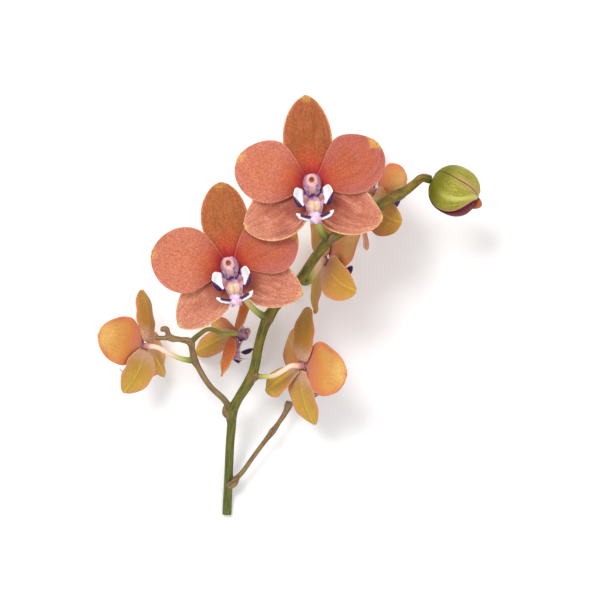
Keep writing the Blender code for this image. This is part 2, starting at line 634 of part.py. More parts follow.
def build_bud():
    """The bud at the tip: three sepals closed over the petals."""
    for name in BUD_SEPALS:
        points, faces = bud_shell(name, columns=7)
        add_object(name, mesh_of(name, points - ORIGIN, faces), LIME)
    points, faces = bud_core()
    add_object("bud_petals", mesh_of("bud_petals", points - ORIGIN, faces), CRIMSON)


for old in list(bpy.data.objects):
    bpy.data.objects.remove(old)
build_spike()
build_blooms()
build_bud()
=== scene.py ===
"""Dresses the cut moth orchid spray: petals, sepals, lips, columns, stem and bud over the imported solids.

Sizes are in millimetres and angles in degrees until a mesh is finished, which is in metres.
A bloom has its own axes: across to its right, along to its top, and out of its face.
"""

from __future__ import annotations

import logging
import math
import sys
from collections.abc import Mapping, Sequence
from dataclasses import dataclass, field, fields, replace
from enum import Enum
from typing import ClassVar

import bpy
import numpy as np
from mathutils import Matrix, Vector
from mathutils.kdtree import KDTree

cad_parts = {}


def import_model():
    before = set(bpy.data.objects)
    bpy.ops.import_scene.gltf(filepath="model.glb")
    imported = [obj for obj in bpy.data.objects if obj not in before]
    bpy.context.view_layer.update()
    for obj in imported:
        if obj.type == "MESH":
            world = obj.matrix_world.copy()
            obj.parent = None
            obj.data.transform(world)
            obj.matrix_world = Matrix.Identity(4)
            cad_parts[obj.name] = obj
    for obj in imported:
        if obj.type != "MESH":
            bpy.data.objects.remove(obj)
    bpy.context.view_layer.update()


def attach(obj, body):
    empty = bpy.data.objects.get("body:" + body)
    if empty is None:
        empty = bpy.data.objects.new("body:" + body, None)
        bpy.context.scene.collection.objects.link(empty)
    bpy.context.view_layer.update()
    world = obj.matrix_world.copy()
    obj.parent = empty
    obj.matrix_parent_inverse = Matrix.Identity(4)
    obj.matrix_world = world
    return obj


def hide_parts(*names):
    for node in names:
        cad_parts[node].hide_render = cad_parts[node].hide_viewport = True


MM = 0.001
ORIGIN = np.array([-4.08, -5.67, 0.0])  # middle of the spray in the measured picture
ROOT = 1.8  # distance of a blade's root from the middle of its bloom
NO_FLOOR = -99.0  # a floor too low to press anything

Colour = tuple[float, float, float]  # linear red, green and blue
Point = tuple[float, float, float]
Knot = tuple[float, float, float, float]  # a point of a line and the radius there
Lump = tuple[Point, Point]  # a middle and three half sizes

log = logging.getLogger("orchid")


def shade(red: int, green: int, blue: int) -> Colour:
    """A colour given as a screen shows it, turned into the linear light that shaders take.

    Args:
        red: Red from 0 to 255.
        green: Green from 0 to 255.
        blue: Blue from 0 to 255.

    Returns:
        The three linear values.
    """
    parts = (value / 255 for value in (red, green, blue))
    linear = (p / 12.92 if p <= 0.04045 else ((p + 0.055) / 1.055) ** 2.4 for p in parts)
    return tuple(linear)


@dataclass(frozen=True)
class Wire:
    """One output of a node, which combines with numbers and other wires through Math nodes."""

    graph: Graph
    socket: bpy.types.NodeSocket

    def __add__(self, other: Wire | float) -> Wire:
        """This plus the other."""
        return self.graph.maths("ADD", self, other)

    def __radd__(self, other: float) -> Wire:
        """The other plus this."""
        return self.graph.maths("ADD", other, self)

    def __sub__(self, other: Wire | float) -> Wire:
        """This minus the other."""
        return self.graph.maths("SUBTRACT", self, other)

    def __rsub__(self, other: float) -> Wire:
        """The other minus this."""
        return self.graph.maths("SUBTRACT", other, self)

    def __mul__(self, other: Wire | float) -> Wire:
        """This times the other."""
        return self.graph.maths("MULTIPLY", self, other)

    def __rmul__(self, other: float) -> Wire:
        """The other times this."""
        return self.graph.maths("MULTIPLY", other, self)

    def __truediv__(self, other: Wire | float) -> Wire:
        """This over the other."""
        return self.graph.maths("DIVIDE", self, other)

    def __rtruediv__(self, other: float) -> Wire:
        """The other over this."""
        return self.graph.maths("DIVIDE", other, self)

    def __pow__(self, other: Wire | float) -> Wire:
        """This to the power of the other."""
        return self.graph.maths("POWER", self, other)

    def __neg__(self) -> Wire:
        """This with its sign turned."""
        return self.graph.maths("MULTIPLY", self, -1.0)

    def __abs__(self) -> Wire:
        """The size of this."""
        return self.graph.maths("ABSOLUTE", self)


Value = Wire | float | int | bool | str | Sequence[float] | bpy.types.Material


class Graph:
    """Adds nodes to one node tree, for a material or for a shape."""

    def __init__(self, tree: bpy.types.NodeTree) -> None:
        """Keeps the tree that the nodes go into."""
        self.tree = tree

    @staticmethod
    def _find(sockets: bpy.types.bpy_prop_collection, key: str | int) -> bpy.types.NodeSocket:
        """The socket of a number, an identifier or a name.

        Args:
            sockets: The inputs or outputs of a node.
            key: The number, identifier or name of the one wanted.

        Returns:
            The socket.
        """
        if isinstance(key, int):
            return sockets[key]
        for socket in sockets:
            if socket.identifier == key:
                return socket
        return next(socket for socket in sockets if socket.enabled and socket.name == key)

    def add(self, kind: str, settings: Mapping[str, object] | None = None,
            values: Mapping[str | int, Value] | None = None, output: str | int = 0) -> Wire:
        """Adds a node, sets it up, then fills its sockets.

        Args:
            kind: The node's type.
            settings: Its own settings.
            values: Numbers, colours or wires for its inputs, by name, identifier or number.
            output: Which output to hand back.

        Returns:
            The wire from that output.
        """
        node = self.tree.nodes.new(kind)
        for name, setting in (settings or {}).items():
            setattr(node, name, setting)
        for key, value in (values or {}).items():
            self.plug(self._find(node.inputs, key), value)
        return Wire(self, self._find(node.outputs, output) if node.outputs else None)

    def plug(self, socket: bpy.types.NodeSocket, value: Value) -> None:
        """Links a wire to an input, or sets the input to a value.

        Args:
            socket: The input.
            value: The wire, number, colour, text or material.
        """
        if isinstance(value, Wire):
            self.tree.links.new(value.socket, socket)
        elif socket.type == "RGBA" and len(value) == 3:
            socket.default_value = (*value, 1.0)
        else:
            socket.default_value = value

    def maths(self, operation: str, *values: Wire | float) -> Wire:
        """A Math node on its values in order."""
        return self.add("ShaderNodeMath", {"operation": operation}, dict(enumerate(values)))

    def limit(self, value: Wire, low: float = 0.0, high: float = 1.0) -> Wire:
        """The value kept between two numbers."""
        return self.add("ShaderNodeClamp", None, {"Value": value, "Min": low, "Max": high})

    def ease(self, value: Wire, start: float, stop: float) -> Wire:
        """A soft step from 0 where the value is at its start to 1 where it is at its stop.

        Args:
            value: The value that the step follows.
            start: Where the step begins.
            stop: Where it ends, which may be lower than the start.

        Returns:
            The mask.
        """
        low, high = min(start, stop), max(start, stop)
        ends = {"To Min": 0.0, "To Max": 1.0} if start < stop else {"To Min": 1.0, "To Max": 0.0}
        return self.add("ShaderNodeMapRange", {"interpolation_type": "SMOOTHSTEP"},
                        {"Value": value, "From Min": low, "From Max": high, **ends})

    def bell(self, value: Wire, width: float) -> Wire:
        """A hump that is 1 where the value is 0 and fades over a width on both sides.

        Args:
            value: The value that the hump follows.
            width: How far it reaches on each side.

        Returns:
            The mask.
        """
        near = value / width
        return self.maths("EXPONENT", -(near * near))

    def apart(self, x: Wire, y: Wire, spot: tuple[float, float]) -> Wire:
        """How far a place is from a spot, as seen from above.

        Args:
            x: The place across.
            y: The place along.
            spot: The spot, across and along.

        Returns:
            The distance.
        """
        across, along = x - spot[0], y - spot[1]
        return self.maths("SQRT", across * across + along * along)

    def split(self, vector: Wire) -> tuple[Wire, Wire, Wire]:
        """The three numbers of a vector.

        Args:
            vector: The vector.

        Returns:
            Its x, y and z.
        """
        node = self.add("ShaderNodeSeparateXYZ", None, {0: vector}).socket.node
        return tuple(Wire(self, socket) for socket in node.outputs)

    def join(self, x: Wire | float, y: Wire | float, z: Wire | float) -> Wire:
        """A vector from three numbers."""
        return self.add("ShaderNodeCombineXYZ", None, {0: x, 1: y, 2: z})

    def vector(self, operation: str, first: Value, second: Value | None = None,
               scale: Wire | float | None = None) -> Wire:
        """A Vector Math node.

        Args:
            operation: What it does.
            first: Its first vector.
            second: Its second vector, where it takes one.
            scale: Its number, where it takes one.

        Returns:
            The resulting vector.
        """
        values: dict[str | int, Value] = {0: first}
        if second is not None:
            values[1] = second
        if scale is not None:
            values["Scale"] = scale
        return self.add("ShaderNodeVectorMath", {"operation": operation}, values)

    def mix(self, mask: Wire | float, first: Value, second: Value) -> Wire:
        """Two colours mixed: the first where the mask is 0 and the second where it is 1."""
        return self.add("ShaderNodeMix", {"data_type": "RGBA"},
                        {"Factor_Float": mask, "A_Color": first, "B_Color": second}, "Result_Color")

    def paint(self, ground: Value, *coats: tuple[Wire | float, Value]) -> Wire:
        """A colour with others laid over it.

        Args:
            ground: The colour underneath.
            coats: The mask and the colour of each coat, the lowest first.

        Returns:
            The colour that comes out.
        """
        for mask, coat in coats:
            ground = self.mix(mask, ground, coat)
        return ground

    def noise(self, place: Wire, scale: float, detail: float = 3.0, rough: float = 0.55) -> Wire:
        """Soft random patches, from about 0.3 to 0.7.

        Args:
            place: Where the pattern is read.
            scale: How fine it is.
            detail: How many finer layers it has.
            rough: How strong those are.

        Returns:
            The value of the pattern.
        """
        return self.add("ShaderNodeTexNoise", None,
                        {"Vector": place, "Scale": scale, "Detail": detail, "Roughness": rough})


class Finish:
    """A material made of nodes, which a piece of the orchid wears."""

    label: str
    slot: str

    def material(self) -> bpy.types.Material:
        """Makes the material once and hands back the same one after that.

        Returns:
            The material.
        """
        made = bpy.data.materials.get(self.label)
        if made is None:
            made = bpy.data.materials.new(self.label)
            made.use_nodes = True
            made.node_tree.nodes.clear()
            graph = Graph(made.node_tree)
            surface = self.surface(graph)
            graph.add("ShaderNodeOutputMaterial", None, {"Surface": surface})
        return made

    def surface(self, graph: Graph) -> Wire:
        """The shader of the finish."""
        raise NotImplementedError

    @staticmethod
    def place(graph: Graph, name: str) -> Wire:
        """A vector that a piece carries on its mesh."""
        return graph.add("ShaderNodeAttribute", {"attribute_name": name}, None, "Vector")

    @staticmethod
    def where(graph: Graph) -> Wire:
        """The place on the object, in millimetres."""
        spot = graph.add("ShaderNodeTexCoord", None, None, "Object")
        return graph.vector("SCALE", spot, scale=1 / MM)

    @staticmethod
    def bump(graph: Graph, height: Wire, strength: float, distance: float) -> Wire:
        """A bump from a height between 0 and 1.

        Args:
            graph: The material's graph.
            height: The height of the relief.
            strength: How much of it shows.
            distance: Its full height in millimetres.

        Returns:
            The bent normal.
        """
        return graph.add("ShaderNodeBump", None,
                         {"Strength": strength, "Distance": distance * MM, "Height": height})


@dataclass(frozen=True)
class BladeFinish(Finish):
    """The skin of a petal or sepal: its face, its back, its veins and its margins."""

    label: str
    slot: str
    face: Colour
    face_light: Colour
    face_dark: Colour
    face_rim: Colour
    face_base: Colour
    throat: Colour
    tip: Colour
    edge: Colour
    back: Colour
    back_dark: Colour
    back_rim: Colour
    keel: Colour
    back_base: Colour
    back_warm: Colour
    back_tip: Colour
    ember: Colour = shade(204, 78, 34)
    stain: Colour = shade(134, 54, 42)
    stained: float = 0.0  # how dark the lower part of the face is stained
    streaked: float = 0.5  # how strong the streaks of the face are
    edged: float = 0.35  # how pale the very edge is
    keeled: float = 0.0  # how much the ridge of the back stands out, by its colour and a painted shadow beside it
    mottle: float = 0.62  # how strong the fine flecks are
    veins: float = 17.0
    rim_reach: float = 9.0  # how far the margin's flush reaches in, on the face
    back_reach: float = 3.4  # the same on the back
    tip_reach: float = 4.4  # how far the tip's colour reaches down

    def surface(self, graph: Graph) -> Wire:
        """The face and the back of the blade, mixed by the side that is seen.

        Args:
            graph: The material's graph.

        Returns:
            The shader.
        """
        share, across, side = graph.split(self.place(graph, "blade_place"))
        tint, light, ember = graph.split(self.place(graph, "blade_tone"))
        spot = self.where(graph)
        fine = graph.noise(spot, 1.2, 4.0, 0.8)
        grain = graph.noise(spot, 2.6, 2.0, 0.7)
        fan = graph.join(across * self.veins * 0.5, share * 2.2, tint * 9.0)
        streak = graph.noise(fan, 1.3, 4.0, 0.6)
        broad = graph.noise(spot, 0.16, 3.0)
        vein = graph.maths("SINE", (across + (broad - 0.5) * 0.17) * self.veins * 2.0)
        vein = graph.ease(abs(vein), 0.55, 0.0)
        face = self._face(graph, streak, broad, vein)
        back = self._back(graph, streak, broad, vein)
        front = graph.ease(side, -0.12, 0.12)
        rim, _, _ = graph.split(self.place(graph, "blade_reach"))
        dark = graph.mix(front, self.back_dark, self.face_dark)
        pale = graph.mix(front, self.back_tip, self.face_light)
        flecks = graph.ease(grain, 0.42, 0.7) * graph.ease(share, 0.1, 0.6)
        colour = graph.paint(
            graph.mix(front, back, face), (light * graph.ease(share, 0.15, 0.55), pale),
            (ember * graph.ease(rim, 0.1, 1.0), self.ember),
            (graph.ease(fine, 0.63, 0.37) * self.mottle, dark),
            (flecks * self.mottle * 0.45, pale))
        relief = streak * 0.6 + vein * -0.25 + fine * 0.3
        return graph.add("ShaderNodeBsdfPrincipled", None, {
            "Base Color": colour,
            "Roughness": fine * 0.25 + 0.42,
            "Subsurface Weight": 0.12,
            "Subsurface Radius": (0.003, 0.0012, 0.0006),
            "Specular IOR Level": 0.22,
            "Normal": self.bump(graph, relief, 0.55, 0.35)})

    def _face(self, graph: Graph, streak: Wire, broad: Wire, vein: Wire) -> Wire:
        """The colour of the face.

        Args:
            graph: The material's graph.
            streak: Streaks that run with the veins.
            broad: Soft broad patches.
            vein: The veins.

        Returns:
            The colour.
        """
        share, across, _ = graph.split(self.place(graph, "blade_place"))
        rim, middle, tip = graph.split(self.place(graph, "blade_reach"))
        flush = graph.ease(rim + (broad - 0.5) * 10.0, self.rim_reach, 0.0)
        sheen = graph.maths("MAXIMUM", flush * 0.9, graph.ease(broad, 0.46, 0.66) * 0.6)
        # Near the root the face takes its root colour; on the sepals that colour is partly their own dark
        # red and partly painted shadow under the lip.
        root_tint_and_shade = graph.ease(share + abs(across) * 0.2 + (broad - 0.5) * 0.3, 0.6, 0.16)
        stain = graph.ease(share + (broad - 0.5) * 0.9, 0.85, 0.3) * graph.ease(streak, 0.3, 0.54)
        throat = graph.ease(share + (streak - 0.5) * 0.2, 0.26, 0.05)
        near = tip + abs(middle) * 0.5 + (streak - 0.5) * 5.0
        return graph.paint(
            self.face, (sheen, self.face_rim),
            (graph.ease(streak, 0.44, 0.7) * self.streaked, self.face_dark),
            (vein * graph.ease(rim, 0.6, 3.0) * 0.15, self.face_dark),
            (root_tint_and_shade * 0.8, self.face_base), (stain * self.stained, self.stain), (throat, self.throat),
            (graph.ease(near, self.tip_reach, 0.8) * 0.85, self.tip),
            (graph.ease(rim, 0.95, 0.15) * self.edged, self.edge))

    def _back(self, graph: Graph, streak: Wire, broad: Wire, vein: Wire) -> Wire:
        """The colour of the back.

        Args:
            graph: The material's graph.
            streak: Streaks that run with the veins.
            broad: Soft broad patches.
            vein: The veins.

        Returns:
            The colour.
        """
        share, _, _ = graph.split(self.place(graph, "blade_place"))
        rim, middle, tip = graph.split(self.place(graph, "blade_reach"))
        inner = graph.ease(share + (broad - 0.5) * 0.6, 0.66, 0.2)
        glow = graph.ease(tip + abs(middle) * 0.7 + (streak - 0.5) * 5.0, 14.0, 2.0)
        flush = graph.ease(rim + (streak - 0.5) * 3.5 + glow * 1.5, self.back_reach, 0.0)
        ridge = graph.bell(middle, 0.5) * graph.ease(share, 0.15, 0.35)
        shadow = graph.bell(abs(middle) - 1.0, 0.6) * graph.ease(share, 0.15, 0.4)
        base = graph.ease(share + (streak - 0.5) * 0.2, 0.38, 0.1)
        return graph.paint(
            self.back, (graph.ease(broad, 0.36, 0.62) * 0.4, self.back_dark),
            (graph.ease(streak, 0.42, 0.72) * 0.4, self.back_dark),
            (inner * 0.75, self.back_warm), (glow * 0.6, self.back_tip),
            (flush * 0.85, self.back_rim), (vein * 0.14, self.back_dark),
            (shadow * self.keeled * 0.5, self.back_dark), (ridge * self.keeled, self.keel),
            (base * 0.85, self.back_base))


PETAL_SKIN = BladeFinish(
    label="petal_skin", slot="petal", face=shade(184, 90, 52), face_light=shade(224, 146, 112),
    face_dark=shade(142, 58, 36), face_rim=shade(178, 98, 96), face_base=shade(192, 78, 32),
    throat=shade(166, 20, 46), tip=shade(232, 190, 82), edge=shade(228, 160, 112),
    back=shade(218, 166, 82), back_dark=shade(196, 126, 64), back_rim=shade(208, 98, 82),
    keel=shade(232, 190, 92), back_base=shade(200, 122, 112), back_warm=shade(208, 108, 54),
    back_tip=shade(250, 212, 130), back_reach=4.4)
# The dark root colour of the sepals' face is partly their own dark red and partly painted shadow under the
# lip.
SEPAL_SKIN = BladeFinish(
    label="sepal_skin", slot="sepal", face=shade(198, 120, 92), face_light=shade(226, 164, 130),
    face_dark=shade(152, 72, 56), face_rim=shade(216, 152, 124), face_base=shade(142, 46, 30),
    throat=shade(150, 24, 44),
    tip=shade(222, 182, 98), edge=shade(240, 200, 142), back=shade(208, 164, 68),
    back_dark=shade(172, 126, 46), back_rim=shade(220, 142, 112), keel=shade(226, 198, 82),
    back_base=shade(212, 170, 150), back_warm=shade(190, 142, 80),
    back_tip=shade(216, 180, 84), stained=0.9, streaked=0.7, edged=0.85,
    keeled=0.7, veins=11.0, rim_reach=7.0, back_reach=3.8, tip_reach=2.6)
DORSAL_SKIN = replace(
    SEPAL_SKIN, label="dorsal_skin", face=shade(160, 86, 34), face_light=shade(184, 112, 56),
    face_dark=shade(112, 52, 24), face_rim=shade(188, 102, 66), face_base=shade(206, 76, 50),
    throat=shade(180, 24, 50),
    tip=shade(206, 162, 72), edge=shade(232, 168, 122), back=shade(184, 132, 44),
    back_dark=shade(152, 104, 32), back_rim=shade(214, 130, 96), back_warm=shade(176, 120, 48),
    back_tip=shade(202, 156, 84),
    stained=0.0, streaked=0.5, keeled=0.15, rim_reach=5.0, back_reach=3.4, tip_reach=4.2)


@dataclass(frozen=True)
class LipFinish(Finish):
    """The lip: white lobes with dark purple outsides, a cream callus with specks and painted shade in its
    middle groove, mauve elsewhere.
    """

    label: str = "lip_skin"
    slot: str = "lip"
    white: Colour = shade(255, 253, 255)
    purple: Colour = shade(56, 12, 78)
    mauve: Colour = shade(148, 98, 140)
    violet: Colour = shade(92, 48, 112)
    pale: Colour = shade(210, 170, 196)
    lilac: Colour = shade(230, 206, 222)
    cream: Colour = shade(222, 184, 148)
    speck: Colour = shade(128, 80, 56)
    amber: Colour = shade(164, 100, 80)
    ear_line: tuple[float, float] = (-15.7, 1.45)  # below it the ears are purple: height, slope
    ear_side: tuple[float, float] = (3.9, 4.6)  # where the ears' own colours begin
    wing_line: tuple[float, float] = (7.55, 0.27)  # middle line of a wing: height, slope
    wing_low: tuple[float, float] = (-1.7, -1.2)  # lower edge of the white band along it
    wing_high: tuple[float, float] = (0.7, 0.2)  # upper edge of the white band
    wing_side: tuple[float, float] = (5.8, 6.8)  # past this the whole wing is white
    eye: tuple[float, float] = (3.2, -6.3)  # middle of the amber eye

    def surface(self, graph: Graph) -> Wire:
        """The lip's colours by the lobe and the place on it.

        Args:
            graph: The material's graph.

        Returns:
            The shader.
        """
        spot = self.place(graph, "own_place")
        x, y, z = graph.split(spot)
        ear, wing, callus = graph.split(self.place(graph, "lobes"))
        knob, _, _ = graph.split(self.place(graph, "knob"))
        patch = graph.noise(spot, 0.55, 3.0)
        fine = graph.noise(spot, 2.4, 3.0, 0.65)
        ragged = (fine - 0.5) * 1.4
        start, slope = self.ear_line
        low = y - start - abs(x) * slope + ragged
        outside = graph.mix(graph.ease(low, 0.4, -0.4), self.white, self.purple)
        outer = graph.ease(abs(x) + ragged * 0.5, *self.ear_side)
        start, slope = self.wing_line
        height = z - abs(x) * slope - start + ragged * 0.4
        band = graph.ease(height, *self.wing_low) * graph.ease(height, *self.wing_high)
        band = graph.maths("MAXIMUM", band, graph.ease(abs(x), *self.wing_side))
        specks = graph.ease(graph.noise(spot, 1.5, 3.0, 0.7), 0.54, 0.64)
        # Along the callus's middle groove the speck colour is laid as painted shade in the crease.
        groove_shade = graph.bell(x, 0.45) * graph.ease(y, -7.2, -8.6)
        cushion = graph.paint(
            self.cream, (graph.ease(patch, 0.5, 0.62) * 0.8, self.lilac),
            (graph.maths("MAXIMUM", specks * 0.75, groove_shade * 0.4), self.speck))
        front = graph.mix(graph.ease(patch, 0.42, 0.66), self.pale, self.lilac)
        colour = graph.paint(
            self._claw(graph, abs(x), y, patch, fine), (ear * outer, outside),
            (wing, graph.mix(band, self.purple, self.white)), (callus, cushion),
            (knob * graph.ease(y, -11.0, -12.4), front))
        return graph.add("ShaderNodeBsdfPrincipled", None, {
            "Base Color": colour,
            "Roughness": fine * 0.2 + 0.26,
            "Subsurface Weight": 0.08,
            "Subsurface Radius": (0.002, 0.001, 0.001),
            "Specular IOR Level": 0.25,
            "Coat Weight": 0.12,
            "Coat Roughness": 0.12,
            "Normal": self.bump(graph, fine, 0.3, 0.2)})

    def _claw(self, graph: Graph, aside: Wire, y: Wire, patch: Wire, fine: Wire) -> Wire:
        """The colour of the claw and its cheeks: mauve, spotted violet, with an amber eye each side.

        Args:
            graph: The material's graph.
            aside: Distance from the middle line.
            y: Place along the bloom.
            patch: Soft patches.
            fine: Fine grain.

        Returns:
            The colour.
        """
        spots = graph.ease(fine, 0.56, 0.44) * graph.ease(y, -8.5, -4.5)
        away = graph.apart(aside, y, self.eye)
        return graph.paint(
            self.mauve, (graph.ease(patch, 0.36, 0.66), self.pale), (spots * 0.85, self.violet),
            (graph.ease(away + (patch - 0.5) * 1.5, 1.7, 0.5), self.amber))


@dataclass(frozen=True)
class ColumnFinish(Finish):
    """The column: mauve and purple, with a pink ring round an ochre hollow and a pale beak."""

    label: str = "column_skin"
    slot: str = "column"
    mauve: Colour = shade(166, 118, 144)
    purple: Colour = shade(108, 68, 112)
    pink: Colour = shade(208, 152, 152)
    ochre: Colour = shade(150, 88, 42)
    cream: Colour = shade(214, 162, 152)
    hollow: tuple[float, float] = (0.0, 1.9)  # middle of the hollow and its ring
    mark: tuple[float, float] = (2.5, -3.4)  # middle of the dark mark on each side of the beak

    def surface(self, graph: Graph) -> Wire:
        """The column's colours by the place on it.

        Args:
            graph: The material's graph.

        Returns:
            The shader.
        """
        spot = self.place(graph, "own_place")
        x, y, z = graph.split(spot)
        fine = graph.noise(spot, 1.6, 3.0, 0.6)
        patch = graph.noise(spot, 0.6, 2.0)
        away = graph.apart(x, y, self.hollow)
        ring = graph.ease(away + (fine - 0.5) * 0.8, 3.1, 2.5) * graph.ease(z, 6.6, 7.6)
        strip = graph.ease(abs(x), 1.9, 1.1) * graph.ease(y, 0.2, -0.6) * graph.ease(y, -4.4, -3.2)
        mark = graph.apart(abs(x), y, self.mark)
        hollow = graph.ease(away + (fine - 0.5) * 0.4, 1.25, 0.85) * graph.ease(z, 6.5, 7.5)
        colour = graph.paint(
            self.mauve, (graph.ease(patch + (fine - 0.5) * 0.5, 0.48, 0.68), self.purple),
            (ring, self.pink), (strip * 0.6, self.cream),
            (graph.ease(mark, 1.4, 0.8) * 0.8, self.purple), (hollow, self.ochre))
        return graph.add("ShaderNodeBsdfPrincipled", None, {
            "Base Color": colour,
            "Roughness": fine * 0.2 + 0.22,
            "Coat Weight": 0.5,
            "Coat Roughness": 0.08,
            "Normal": self.bump(graph, fine, 0.3, 0.2)})


@dataclass(frozen=True)
class StemFinish(Finish):
    """The stem: olive green with long fibres, brown at the nodes, pale towards the blooms."""

    label: str = "stem_skin"
    slot: str = "stem"
    green: Colour = shade(86, 100, 32)
    dark: Colour = shade(52, 62, 14)
    tan: Colour = shade(106, 98, 42)
    dry: Colour = shade(138, 116, 76)
    brown: Colour = shade(112, 78, 58)
    ripe: Colour = shade(148, 110, 30)
    fresh: Colour = shade(178, 178, 92)
    blush: Colour = shade(240, 206, 184)
    mauve: Colour = shade(186, 126, 120)

    def surface(self, graph: Graph) -> Wire:
        """The stem's colours by its tone and its grain.

        Args:
            graph: The material's graph.

        Returns:
            The shader.
        """
        grain = self.place(graph, "grain")
        pale, brown, ripe = graph.split(self.place(graph, "tone"))
        spot = self.where(graph)
        long = graph.vector("MULTIPLY", grain, (0.12, 1.6, 1.6))
        fibre = graph.noise(long, 1.0, 4.0, 0.65)
        patch = graph.noise(spot, 0.22, 3.0)
        fine = graph.noise(spot, 1.8, 3.0, 0.7)
        dry = graph.mix(graph.ease(fibre, 0.4, 0.6), self.dry, self.brown)
        colour = graph.paint(
            self.green, (graph.ease(fine, 0.42, 0.6) * 0.7, self.tan),
            (ripe * graph.ease(patch + (fine - 0.5) * 0.5, 0.28, 0.62), self.ripe),
            (graph.ease(fibre, 0.4, 0.66) * 0.8, self.dark),
            (graph.ease(brown + (fine - 0.5) * 0.5, 0.25, 0.8), dry),
            (graph.ease(pale, 0.02, 0.3), self.fresh),
            (graph.ease(pale + (fine - 0.5) * 0.2, 0.2, 0.6), self.blush),
            (graph.ease(pale + (fine - 0.5) * 0.1, 0.82, 0.94), self.mauve))
        relief = fibre * 0.7 + fine * 0.3
        return graph.add("ShaderNodeBsdfPrincipled", None, {
            "Base Color": colour,
            "Roughness": fine * 0.3 + 0.4,
            "Specular IOR Level": 0.35,
            "Normal": self.bump(graph, relief, 0.6, 0.35)})


@dataclass(frozen=True)
class BudFinish(Finish):
    """A bud's sepal: lime, streaked deeper green, greener at its root, with gold flecks, a painted
    highlight in gold along its keel and a brown blush at its margins.
    """

    label: str = "bud_skin"
    slot: str = "bud_sepal"
    lime: Colour = shade(158, 152, 44)
    green: Colour = shade(98, 98, 10)
    blush: Colour = shade(180, 142, 98)
    gold: Colour = shade(208, 202, 120)

    def surface(self, graph: Graph) -> Wire:
        """The bud sepal's colours by the place on it.

        Args:
            graph: The material's graph.

        Returns:
            The shader.
        """
        share, across, _ = graph.split(self.place(graph, "blade_place"))
        rim, middle, _ = graph.split(self.place(graph, "blade_reach"))
        spot = self.where(graph)
        streak = graph.noise(graph.join(across * 7.0, share * 2.0, 0.0), 1.4, 4.0, 0.6)
        fine = graph.noise(spot, 1.8, 4.0, 0.7)
        young = graph.ease(share + (streak - 0.5) * 0.4, 0.45, 0.12)
        flush = graph.ease(rim + (streak - 0.5) * 4.0, 3.6, 0.2) * graph.ease(share, 0.2, 0.6)
        # The gold along the keel is a painted highlight on the ridge.
        ridge = graph.bell(middle, 1.2) * graph.ease(share, 0.1, 0.6)
        colour = graph.paint(
            self.lime, (graph.ease(streak, 0.36, 0.66) * 0.7, self.green),
            (graph.ease(fine, 0.34, 0.76) * 0.35, self.gold),
            (graph.ease(fine, 0.64, 0.3) * 0.35, self.green), (young * 0.9, self.green),
            (flush * 0.7, self.blush), (ridge * 0.6, self.gold))
        return graph.add("ShaderNodeBsdfPrincipled", None, {
            "Base Color": colour,
            "Roughness": fine * 0.25 + 0.42,
            "Specular IOR Level": 0.15,
            "Subsurface Weight": 0.08,
            "Subsurface Radius": (0.002, 0.002, 0.0006),
            "Normal": self.bump(graph, streak * 0.6 + fine * 0.4, 0.5, 0.3)})


@dataclass(frozen=True)
class BudCoreFinish(Finish):
    """The petals inside the bud: deep crimson with purple patches as a painted gloss, and a brown-orange
    tip.
    """

    label: str = "bud_core_skin"
    slot: str = "bud_petal"
    crimson: Colour = shade(96, 4, 20)
    purple: Colour = shade(92, 14, 46)
    amber: Colour = shade(168, 92, 42)

    def surface(self, graph: Graph) -> Wire:
        """The colours of the bud's petals by the place on them.

        Args:
            graph: The material's graph.

        Returns:
            The shader.
        """
        share, _, _ = graph.split(self.place(graph, "blade_place"))
        spot = self.where(graph)
        patch = graph.noise(spot, 0.5, 3.0)
        fine = graph.noise(spot, 2.2, 3.0)
        colour = graph.paint(
            # The purple patches stand for a painted gloss on the crimson.
            self.crimson, (graph.ease(patch, 0.45, 0.65), self.purple),
            (graph.ease(share + (fine - 0.5) * 0.08, 0.96, 1.02), self.amber))
        return graph.add("ShaderNodeBsdfPrincipled", None, {
            "Base Color": colour,
            "Roughness": fine * 0.2 + 0.4,
            "Specular IOR Level": 0.2,
            "Normal": self.bump(graph, fine, 0.4, 0.25)})


@dataclass(frozen=True)
class FloorFinish(Finish):
    """A plain pale floor."""

    label: str = "floor_paint"
    slot: str = ""
    pale: Colour = (0.93, 0.93, 0.93)
    grey: Colour = (0.91, 0.91, 0.915)

    def surface(self, graph: Graph) -> Wire:
        """A pale matt paint with the faintest clouding.

        Args:
            graph: The material's graph.

        Returns:
            The shader.
        """
        cloud = graph.noise(self.where(graph), 0.004, 2.0)
        colour = graph.mix(graph.ease(cloud, 0.4, 0.6), self.pale, self.grey)
        return graph.add("ShaderNodeBsdfPrincipled", None, {"Base Color": colour, "Roughness": 0.85})


